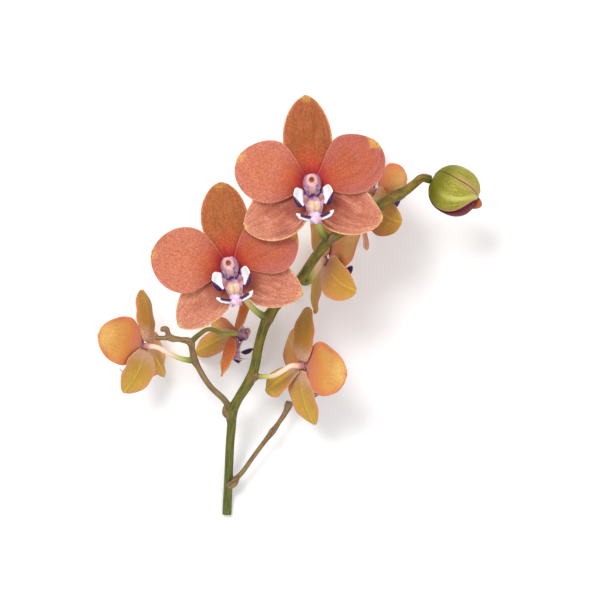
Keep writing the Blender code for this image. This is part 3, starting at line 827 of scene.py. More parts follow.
class Recipe:
    """A geometry node tree with named inputs, which makes one mesh each time it is run."""

    KINDS: ClassVar[Mapping[type, str]] = {
        float: "NodeSocketFloat", int: "NodeSocketInt", tuple: "NodeSocketVector",
        bpy.types.Material: "NodeSocketMaterial"}

    def __init__(self, name: str, inputs: Mapping[str, type]) -> None:
        """Starts the tree with its named inputs.

        Args:
            name: The tree's name.
            inputs: The type of each input, by name.
        """
        self.tree = bpy.data.node_groups.new(name, "GeometryNodeTree")
        self.graph = Graph(self.tree)
        sides = self.tree.interface
        sides.new_socket("Geometry", in_out="INPUT", socket_type="NodeSocketGeometry")
        sides.new_socket("Geometry", in_out="OUTPUT", socket_type="NodeSocketGeometry")
        wanted = {**inputs, "Material": bpy.types.Material}
        self.sockets = {key: sides.new_socket(key, in_out="INPUT", socket_type=self.KINDS[kind])
                        for key, kind in wanted.items()}
        self.source = self.graph.add("NodeGroupInput").socket.node

    def given(self, name: str) -> Wire:
        """The wire of a named input."""
        return Wire(self.graph, self.source.outputs[name])

    def store(self, geometry: Wire, name: str, value: Wire) -> Wire:
        """Keeps a vector on the mesh under a name that materials read."""
        return self.graph.add("GeometryNodeStoreNamedAttribute",
                              {"data_type": "FLOAT_VECTOR", "domain": "POINT"},
                              {"Geometry": geometry, "Name": name, "Value": value})

    def close(self, geometry: Wire) -> None:
        """Ends the tree: smooth shading, no instances, and the material.

        Args:
            geometry: The finished shape.
        """
        graph = self.graph
        smooth = graph.add("GeometryNodeSetShadeSmooth", None, {"Geometry": geometry})
        whole = graph.add("GeometryNodeRealizeInstances", None, {"Geometry": smooth})
        dressed = graph.add("GeometryNodeSetMaterial", None,
                            {"Geometry": whole, "Material": self.given("Material")})
        graph.add("NodeGroupOutput", None, {"Geometry": dressed})

    def run(self, values: Mapping[str, object], finish: Finish,
            base: bpy.types.Mesh | None = None) -> bpy.types.Mesh:
        """Runs the tree and hands back its result as a plain mesh.

        Args:
            values: The value of each named input.
            finish: The material that the mesh wears.
            base: The mesh that the tree starts from, where it needs one.

        Returns:
            The new mesh.
        """
        carrier = placed("carrier", base or bpy.data.meshes.new("empty"))
        modifier = carrier.modifiers.new("shape", "NODES")
        modifier.node_group = self.tree
        for key, value in {**values, "Material": finish.material()}.items():
            modifier[self.sockets[key].identifier] = value
        return flatten(carrier)


def placed(name: str, data: bpy.types.ID) -> bpy.types.Object:
    """Puts a new object into the scene.

    Args:
        name: Its name.
        data: The mesh, light or camera that it holds.

    Returns:
        The object.
    """
    made = bpy.data.objects.new(name, data)
    bpy.context.scene.collection.objects.link(made)
    return made


def flatten(carrier: bpy.types.Object) -> bpy.types.Mesh:
    """Applies the modifiers of an object that is there only to carry them, and removes it.

    Args:
        carrier: The object.

    Returns:
        The mesh that came out, which is its own.
    """
    base = carrier.data
    bpy.context.view_layer.update()
    graph = bpy.context.evaluated_depsgraph_get()
    made = bpy.data.meshes.new_from_object(carrier.evaluated_get(graph), depsgraph=graph)
    bpy.data.objects.remove(carrier)
    bpy.data.meshes.remove(base)
    return made


@dataclass(frozen=True)
class Frame:
    """Where a shape's own axes lie: across, along and out, from its origin."""

    origin: np.ndarray
    across: np.ndarray
    along: np.ndarray
    out: np.ndarray

    def place(self, points: np.ndarray) -> np.ndarray:
        """Points given as (across, along, out) in this frame, as points outside it."""
        return self.origin + points @ np.array([self.across, self.along, self.out])

    def turned(self, roll: float, pitch: float) -> Frame:
        """This frame turned within its face, then with its lower side tipped out.

        Args:
            roll: The turn within the face, in degrees.
            pitch: The turn out of it, in degrees.

        Returns:
            The turned frame.
        """
        c, s = math.cos(math.radians(roll)), math.sin(math.radians(roll))
        across, along = self.across * c + self.along * s, self.along * c - self.across * s
        c, s = math.cos(math.radians(pitch)), math.sin(math.radians(pitch))
        return Frame(self.origin, across, along * c - self.out * s, self.out * c + along * s)


def frame_along(at: Point, along: Point, out: Point) -> Frame:
    """A frame whose blade would start at a point, pointing along and facing out.

    Args:
        at: Where the blade's root is.
        along: The direction of its midrib.
        out: The direction that its face looks.

    Returns:
        The frame.
    """
    ahead = np.asarray(along, float)
    ahead = ahead / np.linalg.norm(ahead)
    face = np.asarray(out, float)
    face = face - ahead * (face @ ahead)
    face = face / np.linalg.norm(face)
    return Frame(np.asarray(at, float) - ahead * ROOT, np.cross(ahead, face), ahead, face)


@dataclass(frozen=True)
class Blade:
    """A petal, sepal, lobe or bract, in the axes of its bloom."""

    spread: float = 0.0  # turn from the bloom's top
    length: float = 34.0
    width: float = 21.0
    widest: float = 0.48  # share of the length where it is widest
    blunt: float = 0.53  # 0 is a square tip, 1 a long one
    rise: float = 0.9  # how slowly it widens from its root
    claw: float = 0.16  # share of the width that its root has
    pitch: float = 6.0  # turn out of the bloom's face at the root
    bend: float = -12.0  # further turn from the root to the tip
    cup: float = 12.0  # turn from the midrib to each margin
    sweep: float = 0.0  # turn sideways from the root to the tip
    twist: float = 0.0  # turn about the midrib from the root to the tip
    level: float = 0.0  # how far the root stands out of the bloom's face
    thick: float = 0.7
    ruffle: float = 0.35  # height of the waves at its margins
    keel: float = 0.35  # height of the ridge on its back
    light: float = 0.0  # how much paler its skin is
    ember: float = 0.0  # how orange its skin is


class BladeRecipe:
    """The rule by which every blade of the orchid is shaped, as a geometry node tree."""

    LEAST = 0.01  # stands for a turn of nothing, which the rule can't divide by
    TURNS = ("spread", "pitch", "bend", "cup", "sweep", "twist")  # the sizes that are degrees
    AXES = ("origin", "across", "along", "out")
    CROWD = 1.5  # power by which the rows crowd towards the tip
    TIP = 0.12  # share of the width that the tip keeps
    WAVES = (15.0, 2.0, 21.0)  # how fast the ruffle runs along, across and from blade to blade
    ROUND = 0.4  # power that rounds the margins
    RIB = 0.7  # half width of the keel
    FOLD = 0.4  # depth of the fold on the face, as a share of the keel's height

    def __init__(self) -> None:
        """Builds the tree once."""
        inputs: dict[str, type] = {size.name: float for size in fields(Blade)}
        inputs |= {"columns": int, "rows": int, "floor": float, "tint": float}
        inputs |= {axis: tuple for axis in self.AXES}
        self.recipe = Recipe("blade_rule", inputs)
        graph, given = self.recipe.graph, self.recipe.given
        roller = graph.add("GeometryNodeMeshCylinder", {"fill_type": "TRIANGLE_FAN"},
                           {"Vertices": given("columns"), "Side Segments": given("rows"),
                            "Radius": 1.0, "Depth": 1.0})
        x, y, z = graph.split(graph.add("GeometryNodeInputPosition"))
        share = 1 - (0.5 - z) ** self.CROWD
        held = self.recipe.store(roller, "blade_place", graph.join(share, -x, y))
        place = graph.add("GeometryNodeInputNamedAttribute", {"data_type": "FLOAT_VECTOR"},
                          {"Name": "blade_place"}, "Attribute")
        share, across, side = graph.split(place)
        spot, half = self._rule(share, across)
        flat = graph.add("GeometryNodeSetPosition", None, {"Geometry": held, "Position": spot})
        puffed = graph.add("GeometryNodeSetPosition", None,
                           {"Geometry": flat, "Offset": self._swell(share, across, side, half)})
        east, north, up = graph.split(graph.add("GeometryNodeInputPosition"))
        pressed = graph.maths("MAXIMUM", up, given("floor"))
        settled = graph.add("GeometryNodeSetPosition", None,
                            {"Geometry": puffed, "Position": graph.join(east, north, pressed)})
        tip = (1 - share) * given("length")
        rim = graph.maths("MINIMUM", (1 - abs(across)) * half, tip)
        reach = self.recipe.store(settled, "blade_reach", graph.join(rim, across * half, tip))
        tone = graph.join(given("tint"), given("light"), given("ember"))
        self.recipe.close(self.recipe.store(reach, "blade_tone", tone))

    def _rule(self, share: Wire, across: Wire) -> tuple[Wire, Wire]:
        """Where the middle surface of the blade lies.

        Args:
            share: Share of the length from the root.
            across: Share across, from -1 to 1.

        Returns:
            The place, and half the width there.
        """
        graph, given = self.recipe.graph, self.recipe.given
        grow = graph.limit(share / given("widest"))
        fade = graph.limit((share - given("widest")) / (1 - given("widest")))
        base = given("claw") + (1 - given("claw")) * graph.maths(
            "SINE", grow * (math.pi / 2)) ** given("rise")
        tip = graph.maths("MAXIMUM", graph.maths("COSINE", fade * (math.pi / 2)), 0.0)
        tip = graph.maths("MAXIMUM", tip ** given("blunt"), self.TIP)
        full = given("width") * 0.5
        half = base * tip * full
        bow = given("cup") / full
        y = graph.maths("SINE", bow * half * across) / bow
        z = (1 - graph.maths("COSINE", bow * half * across)) / bow
        fast, slow, start = self.WAVES
        wave = graph.maths("SINE", share * fast + across * slow + given("tint") * start)
        z = z + given("ruffle") * wave * abs(across) ** 2.5 * graph.ease(share, 0.15, 0.5)
        turn = given("twist") * share
        sine, cosine = graph.maths("SINE", turn), graph.maths("COSINE", turn)
        y, z = y * cosine - z * sine, y * sine + z * cosine
        slope = given("pitch") + given("bend") * share
        head = given("sweep") * (share - 0.5)
        half_sweep = given("sweep") * 0.5
        tilt, level = graph.maths("SINE", slope), graph.maths("COSINE", slope)
        advance = (tilt - graph.maths("SINE", given("pitch"))) / given("bend")
        lift = (graph.maths("COSINE", given("pitch")) - level) / given("bend")
        forward = (graph.maths("SINE", head) + graph.maths("SINE", half_sweep)) / given("sweep")
        aside = (graph.maths("COSINE", half_sweep) - graph.maths("COSINE", head)) / given("sweep")
        short = y * graph.maths("SINE", head) + given("length") * (share - forward)
        ahead = given("length") * advance - z * tilt - short * level + ROOT
        beside = y * graph.maths("COSINE", head) + given("length") * aside
        up = given("level") + given("length") * lift + z * level
        sine, cosine = graph.maths("SINE", given("spread")), graph.maths("COSINE", given("spread"))
        steps = (("across", ahead * sine + beside * cosine),
                 ("along", ahead * cosine - beside * sine), ("out", up))
        spot = given("origin")
        for axis, amount in steps:
            spot = graph.vector("ADD", spot, graph.vector("SCALE", given(axis), scale=amount))
        return spot, half

    def _swell(self, share: Wire, across: Wire, side: Wire, half: Wire) -> Wire:
        """How far each point stands off the middle surface, with the keel at the back.

        Args:
            share: Share of the length from the root.
            across: Share across, from -1 to 1.
            side: 1 on the face, -1 on the back and 0 on the margin.
            half: Half the width there.

        Returns:
            The offset.
        """
        graph, given = self.recipe.graph, self.recipe.given
        body = given("thick") * 0.5 * abs(side) ** self.ROUND
        rib = graph.bell(across * half, self.RIB) * graph.ease(share, 0.05, 0.3)
        back = graph.ease(side, 0.1, -0.1) * (1 + self.FOLD) - self.FOLD
        ridge = rib * given("keel") * back * graph.ease(abs(side), 0.0, 0.5)
        normal = graph.add("GeometryNodeInputNormal", None, None, "Normal")
        return graph.vector("SCALE", normal, scale=body + ridge)

    def run(self, blade: Blade, frame: Frame, finish: Finish, detail: tuple[int, int] = (56, 34),
            floor: float = 0.0, tint: float = 0.5) -> bpy.types.Mesh:
        """Makes one blade.

        Args:
            blade: Its sizes.
            frame: Where its bloom lies.
            finish: What it wears.
            detail: Points round it and rows along it.
            floor: The lowest height that it may have.
            tint: A number from 0 to 1 that makes it differ from its neighbours.

        Returns:
            The mesh, in millimetres.
        """
        values: dict[str, object] = {}
        for size, amount in vars(blade).items():
            if size in self.TURNS:
                amount = math.radians(amount if abs(amount) > self.LEAST else self.LEAST)
            values[size] = float(amount)
        values |= {"columns": detail[0], "rows": detail[1], "floor": floor, "tint": tint}
        values |= {axis: tuple(getattr(frame, axis).tolist()) for axis in self.AXES}
        return self.recipe.run(values, finish)


class TubeRecipe:
    """A round stalk that follows a path of points with a radius each, as a geometry node tree."""

    def __init__(self) -> None:
        """Builds the tree once."""
        self.recipe = Recipe("stalk_rule", {"sides": int, "step": float, "flatness": float})
        graph, given = self.recipe.graph, self.recipe.given
        line = graph.add("GeometryNodeMeshToCurve", None, {"Mesh": given("Geometry")})
        knots = graph.add("GeometryNodeCurveSplineType", {"spline_type": "BEZIER"},
                          {"Curve": line})
        bent = graph.add("GeometryNodeCurveSetHandles",
                         {"handle_type": "AUTO", "mode": {"LEFT", "RIGHT"}}, {"Curve": knots})
        radius = graph.add("GeometryNodeInputNamedAttribute", {"data_type": "FLOAT"},
                           {"Name": "stalk_radius"}, "Attribute")
        sized = graph.add("GeometryNodeSetCurveRadius", None, {"Curve": bent, "Radius": radius})
        even = graph.add("GeometryNodeResampleCurve", {"mode": "LENGTH"},
                         {"Curve": sized, "Length": given("step")})
        ring = graph.add("GeometryNodeCurvePrimitiveCircle", None,
                         {"Resolution": given("sides"), "Radius": 1.0}, "Curve")
        oval = graph.add("GeometryNodeTransform", None,
                         {"Geometry": ring, "Scale": graph.join(1.0, given("flatness"), 1.0)})
        reach = graph.add("GeometryNodeInputRadius")
        tube = graph.add("GeometryNodeCurveToMesh", None,
                         {"Curve": even, "Profile Curve": oval, "Scale": reach,
                          "Fill Caps": True})
        self.recipe.close(tube)

    def run(self, path: Sequence[Knot], finish: Finish, sides: int = 20, step: float = 0.6,
            flatness: float = 1.0) -> bpy.types.Mesh:
        """Makes one stalk.

        Args:
            path: Its points and radii.
            finish: What it wears.
            sides: Points round it.
            step: Distance between its rings.
            flatness: Height of its section over its width.

        Returns:
            The mesh, in millimetres.
        """
        base = bpy.data.meshes.new("path")
        base.from_pydata([knot[:3] for knot in path], [(i, i + 1) for i in range(len(path) - 1)], [])
        radius = base.attributes.new("stalk_radius", "FLOAT", "POINT")
        radius.data.foreach_set("value", [float(knot[3]) for knot in path])
        return self.recipe.run({"sides": sides, "step": step, "flatness": flatness}, finish, base)


def points_of(mesh: bpy.types.Mesh) -> np.ndarray:
    """The places of a mesh's points.

    Args:
        mesh: The mesh.

    Returns:
        One row a point.
    """
    flat = np.empty(len(mesh.vertices) * 3, np.float32)
    mesh.vertices.foreach_get("co", flat)
    return flat.reshape(-1, 3).astype(float)


def set_points(mesh: bpy.types.Mesh, points: np.ndarray) -> None:
    """Moves a mesh's points.

    Args:
        mesh: The mesh.
        points: The new places, one row each.
    """
    mesh.vertices.foreach_set("co", points.astype(np.float32).ravel())
    mesh.update()


def keep_vectors(mesh: bpy.types.Mesh, name: str, rows: np.ndarray) -> None:
    """Keeps a vector for each point of a mesh.

    Args:
        mesh: The mesh.
        name: The name that materials read.
        rows: One vector a point.
    """
    kept = mesh.attributes.new(name, "FLOAT_VECTOR", "POINT")
    kept.data.foreach_set("vector", rows.astype(np.float32).ravel())


def kd_tree(points: np.ndarray) -> KDTree:
    """A tree that finds the nearest of some points.

    Args:
        points: The points, one row each.

    Returns:
        The balanced tree.
    """
    tree = KDTree(len(points))
    for index, point in enumerate(points):
        tree.insert(Vector(point), index)
    tree.balance()
    return tree


def mesh_from(name: str, points: np.ndarray, faces: Sequence[Sequence[int]]) -> bpy.types.Mesh:
    """A smooth mesh from points and faces.

    Args:
        name: Its name.
        points: Its points, one row each.
        faces: The points of each face, in order.

    Returns:
        The mesh.
    """
    mesh = bpy.data.meshes.new(name)
    mesh.from_pydata(points.tolist(), [], list(faces))
    mesh.polygons.foreach_set("use_smooth", [True] * len(mesh.polygons))
    mesh.update()
    return mesh


def grown_together(parts: Sequence[bpy.types.Mesh], finish: Finish, voxel: float,
                   rounds: int = 3) -> bpy.types.Mesh:
    """One skin over several overlapping closed meshes, with soft joints.

    Args:
        parts: The meshes.
        finish: What the skin wears.
        voxel: The finest detail that stays.
        rounds: How often the skin is smoothed.

    Returns:
        The new mesh.
    """
    points, faces, first = [], [], 0
    for part in parts:
        points.append(points_of(part))
        faces += [tuple(first + i for i in face.vertices) for face in part.polygons]
        first += len(part.vertices)
    carrier = placed("carrier", mesh_from("parts", np.concatenate(points), faces))
    skin = carrier.modifiers.new("skin", "REMESH")
    skin.mode = "VOXEL"
    skin.voxel_size = voxel
    skin.use_smooth_shade = True
    soft = carrier.modifiers.new("soft", "SMOOTH")
    soft.factor = 0.5
    soft.iterations = rounds
    made = flatten(carrier)
    made.materials.clear()
    made.materials.append(finish.material())
    return made


def show(node: str, mesh: bpy.types.Mesh, finish: Finish) -> None:
    """Puts a finished mesh into the scene as the piece that stands for a CAD node.

    Args:
        node: The CAD node, whose name the piece takes with _skin at its end.
        mesh: Its mesh, in the measured picture's millimetres.
        finish: What it wears. Not used.
    """
    name = f"{node}_skin"
    set_points(mesh, (points_of(mesh) - ORIGIN) * MM)
    mesh.name = name
    piece = placed(name, mesh)
    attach(piece, "root")
    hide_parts(node)
    log.info("%s: %d points", name, len(mesh.vertices))


class Tone(Enum):
    """What colour a line of the stem has: how pale, brown and ripe it is at its start and end."""

    STEM = ((0.0, 0.1, 0.0), (0.0, 0.0, 1.0))
    LEFT = ((0.0, 0.55, 0.0), (0.0, 1.0, 0.0))
    SPENT = ((0.0, 0.6, 0.0), (0.0, 0.8, 0.0))
    STALK = ((0.0, 0.0, 0.0), (1.0, 0.0, 0.0))
    GREEN_STALK = ((0.0, 0.2, 0.5), (0.2, 0.1, 0.9))
    BRACT = ((0.0, 0.5, 0.0), (0.0, 0.8, 0.0))


SEPAL = Blade()
PETAL = Blade(length=32, width=27, widest=0.56, blunt=0.47, rise=1.05, claw=0.1,
              pitch=7, bend=-14, cup=10, level=1.2, keel=0.1)
BRACT = Blade(widest=0.35, blunt=0.9, claw=0.7, pitch=14, bend=-10, cup=75, thick=0.8,
              ruffle=0.0, keel=0.1)


@dataclass(frozen=True)
class LipMould:
    """The shape of a lip, the same for every bloom.

    It has a claw, two ears that stand up beside it, a callus between them, cheeks at their feet,
    and in front a knob, two wings and two tendrils. Lumps are a middle and three half sizes, and
    what comes in pairs is given for the right side.
    """

    MARKED: ClassVar[tuple[str, ...]] = ("ear", "wing", "callus")  # what the finish tells apart

    voxel: float = 0.17
    ear: Blade = Blade(length=8.2, width=8.8, widest=0.62, blunt=0.5, claw=0.55, pitch=-4,
                       bend=55, cup=22, thick=0.8, ruffle=0.1, keel=0.0)
    wing: Blade = Blade(length=7.6, width=5.4, widest=0.45, blunt=0.75, claw=0.6, pitch=-8,
                        bend=34, cup=-20, thick=0.9, ruffle=0.1, keel=0.0)
    claw: tuple[Knot, ...] = ((0, -1.9, 1.7, 1.2), (0, -4.4, 2.7, 3.2), (0, -7.4, 4.4, 4.1),
                              (0, -10.2, 6.0, 3.6), (0, -12.6, 7.2, 2.6), (0, -14.8, 8.2, 1.7))
    tendril: tuple[Knot, ...] = ((1.1, -15.2, 9.0, 0.7), (1.8, -16.2, 10.2, 0.5),
                                 (2.2, -16.0, 11.4, 0.35))
    callus: Lump = ((0.85, -9.3, 7.0), (2.0, 2.7, 1.9))
    cheek: Lump = ((3.2, -6.4, 5.4), (1.4, 2.6, 1.3))
    knob: Lump = ((0, -13.8, 9.0), (2.8, 2.8, 2.1))
    finish: LipFinish = LipFinish()

    def cast(self, blades: BladeRecipe, tubes: TubeRecipe) -> bpy.types.Mesh:
        """Makes the lip in the axes of its bloom.

        Args:
            blades: The rule for its lobes.
            tubes: The rule for its claw and tendrils.

        Returns:
            The mesh, with the places that its finish reads.
        """
        lobes: dict[str, list[bpy.types.Mesh]] = {"ear": [], "wing": [], "callus": [], "rest": []}
        lobes["rest"].append(tubes.run(self.claw, self.finish, sides=28, step=0.5, flatness=0.5))
        for side in (-1, 1):
            ear = frame_along((3.3 * side, -4.9, 3.6), (0.86 * side, -0.04, 0.5),
                              (-0.5 * side, 0.08, 0.86))
            wing = frame_along((0.9 * side, -14.2, 7.8), (0.93 * side, 0.2, 0.25),
                               (0, 0.93, -0.37))
            lobes["ear"].append(blades.run(self.ear, ear, self.finish, (48, 26), NO_FLOOR))
            lobes["wing"].append(blades.run(self.wing, wing, self.finish, (40, 26), NO_FLOOR))
            lobes["callus"].append(lump(self.callus, side))
            lobes["rest"].append(lump(self.cheek, side))
            tendril = [(x * side, y, z, radius) for x, y, z, radius in self.tendril]
            lobes["rest"].append(tubes.run(tendril, self.finish, sides=12, step=0.3))
        lobes["knob"] = [lump(self.knob)]
        skin = grown_together([part for kind in lobes.values() for part in kind], self.finish,
                              self.voxel)
        self._mark(skin, lobes)
        return skin

    def _mark(self, skin: bpy.types.Mesh, lobes: Mapping[str, Sequence[bpy.types.Mesh]]) -> None:
        """Tells each point of the skin which lobe it grew from, and where it is in the bloom.

        Args:
            skin: The finished skin.
            lobes: The meshes that it grew from, by kind.
        """
        kinds = [kind for kind, members in lobes.items() for part in members for _ in part.vertices]
        parts = [part for members in lobes.values() for part in members]
        tree = kd_tree(np.concatenate([points_of(part) for part in parts]))
        points = points_of(skin)
        mine = [kinds[tree.find(Vector(point))[1]] for point in points]
        marks = [[float(kind == name) for name in self.MARKED] for kind in mine]
        knob = [[float(kind == "knob"), 0.0, 0.0] for kind in mine]
        keep_vectors(skin, "own_place", points)
        keep_vectors(skin, "lobes", np.array(marks))
        keep_vectors(skin, "knob", np.array(knob))


def lump(shape: Lump, side: int = 1, rows: int = 16, sides: int = 28) -> bpy.types.Mesh:
    """A closed rounded lump.

    Args:
        shape: Its middle and its three half sizes.
        side: 1 as given, -1 for its twin on the left.
        rows: Rings of points, with the two ends.
        sides: Points round each ring.

    Returns:
        The mesh.
    """
    slope = np.linspace(-math.pi / 2, math.pi / 2, rows)[1:-1, None]
    angle = 2 * np.pi * np.arange(sides) / sides
    rings = np.stack([np.cos(slope) * np.cos(angle), np.cos(slope) * np.sin(angle),
                      np.sin(slope) + 0 * angle], -1)
    points = np.concatenate([rings.reshape(-1, 3), [(0.0, 0.0, -1.0), (0.0, 0.0, 1.0)]])
    centre, size = (np.array(row, float) for row in shape)
    centre[0] *= side
    return mesh_from("lump", points * size + centre, ring_faces(len(rings), sides))


def ring_faces(rings: int, sides: int) -> list[tuple[int, ...]]:
    """Faces over rings of points, closed to one point at each end, which come last.

    Args:
        rings: How many rings.
        sides: Points round each ring.

    Returns:
        The faces, which point outwards where the rings turn left about the way up.
    """
    faces: list[tuple[int, ...]] = []
    for i in range(rings - 1):
        for j in range(sides):
            a, b = i * sides + j, i * sides + (j + 1) % sides
            faces.append((a, b, b + sides, a + sides))
    bottom, top, end = rings * sides, rings * sides + 1, (rings - 1) * sides
    for j in range(sides):
        k = (j + 1) % sides
        faces += [(bottom, k, j), (top, end + j, end + k)]
    return faces


@dataclass(frozen=True)
class ColumnMould:
    """The shape of a column, the same for every bloom: body, ring round a hollow, beak, cheeks."""

    voxel: float = 0.15
    body: tuple[Knot, ...] = ((0, 0.1, 1.1, 1.2), (0, 0.1, 2.1, 1.4), (0, 0.4, 3.8, 2.8),
                              (0, 0.3, 5.4, 4.0), (0, 0.7, 7.0, 3.6), (0, 1.5, 8.0, 2.4),
                              (0, 1.8, 8.2, 1.6))
    ring: float = 1.9
    ring_centre: Point = (0.0, 1.9, 8.4)
    ring_thick: float = 0.8
    ring_narrow: float = 0.92
    beak: Lump = ((0, -0.7, 8.3), (1.1, 1.3, 0.9))
    cheek: Lump = ((1.7, -3.1, 6.6), (1.3, 1.5, 1.1))
    finish: ColumnFinish = ColumnFinish()

    def cast(self, tubes: TubeRecipe) -> bpy.types.Mesh:
        """Makes the column in the axes of its bloom.

        Args:
            tubes: The rule for its body and ring.

        Returns:
            The mesh, with the places that its finish reads.
        """
        _, y, z = self.ring_centre
        ring = [(self.ring * math.cos(a) * self.ring_narrow, y + self.ring * math.sin(a), z,
                 self.ring_thick) for a in np.radians(np.linspace(0, 360, 25))]
        parts = [tubes.run(self.body, self.finish, sides=32, step=0.4, flatness=1.15),
                 tubes.run(ring, self.finish, sides=16, step=0.4), lump(self.beak),
                 lump(self.cheek, -1), lump(self.cheek)]
        skin = grown_together(parts, self.finish, self.voxel)
        keep_vectors(skin, "own_place", points_of(skin))
        return skin


@dataclass(frozen=True)
class Bloom:
    """One flower: where its middle is, which way it faces, and its five blades."""

    SKINS: ClassVar[Mapping[str, BladeFinish]] = {
        "petal": PETAL_SKIN, "sepal": SEPAL_SKIN, "dorsal_sepal": DORSAL_SKIN}
    SIDEWAYS: ClassVar[float] = 90.0  # a bloom that leans further shows its back
    BACK_CLAW: ClassVar[float] = 0.36  # least claw of a blade where the bloom shows its back
    TINTS: ClassVar[tuple[float, float]] = (0.37, 0.23)  # steps from bloom to bloom, blade to blade
    # A stalk's last points: how far behind the bloom's middle, and the radius.
    STRAIGHT: ClassVar[Sequence[tuple[float, float]]] = ((6.0, 1.1), (2.6, 1.25), (0.8, 1.5))
    BENT: ClassVar[Sequence[tuple[float, float]]] = ((1.2, 1.6),)
    END: ClassVar[tuple[float, float]] = (-0.6, 1.45)

    centre: Point
    lean: float  # turn of its face away from straight up
    toward: float  # which way it leans
    top: float  # which way its top points
    blades: Mapping[str, Blade]
    size: float = 1.0
    lip_roll: float = 0.0
    lip_pitch: float = 0.0
    stalk: Sequence[Knot] = field(default_factory=list)
    bent: bool = False  # whether the stalk reaches it from the side
    tone: Tone = Tone.STALK

    def frame(self) -> Frame:
        """The bloom's axes.

        Returns:
            Its right, its top and the direction that it faces, from its middle.
        """
        lean, toward, top = (math.radians(a) for a in (self.lean, self.toward, self.top))
        out = np.array([math.sin(lean) * math.cos(toward), math.sin(lean) * math.sin(toward),
                        math.cos(lean)])
        along = np.array([math.cos(top), math.sin(top), 0.0])
        along = along - out * (along @ out)
        along = along / np.linalg.norm(along)
        return Frame(np.array(self.centre, float), np.cross(along, out), along, out)

    def stalk_path(self) -> list[Knot]:
        """The flower stalk from the stem to the back of the bloom.

        Returns:
            Its points and radii.
        """
        frame = self.frame()
        ends = (*(self.BENT if self.bent else self.STRAIGHT), self.END)
        path = [(*(frame.origin - frame.out * behind).tolist(), radius) for behind, radius in ends]
        return [*self.stalk, *path]

    def build(self, key: str, blades: BladeRecipe,
              casts: Mapping[str, tuple[bpy.types.Mesh, Finish]]) -> None:
        """Makes the bloom's five blades, and sets its lip and its column.

        Args:
            key: The bloom's letter.
            blades: The rule for its blades.
            casts: The lip and the column in the axes of a bloom, with what they wear.
        """
        frame = self.frame()
        for count, (part, blade) in enumerate(self.blades.items()):
            if self.lean > self.SIDEWAYS:
                blade = replace(blade, claw=max(blade.claw, self.BACK_CLAW))
            finish = self.SKINS.get(part) or self.SKINS[part.split("_")[-1]]
            tint = (ord(key) * self.TINTS[0] + count * self.TINTS[1]) % 1.0
            mesh = blades.run(blade, frame, finish, tint=tint)
            show(f"bloom_{key}_{part}", mesh, finish)
        turned = frame.turned(self.lip_roll, self.lip_pitch)
        for part, (cast, finish) in casts.items():
            mesh = cast.copy()
            set_points(mesh, turned.place(points_of(mesh) * self.size))
            show(f"bloom_{key}_{part}", mesh, finish)


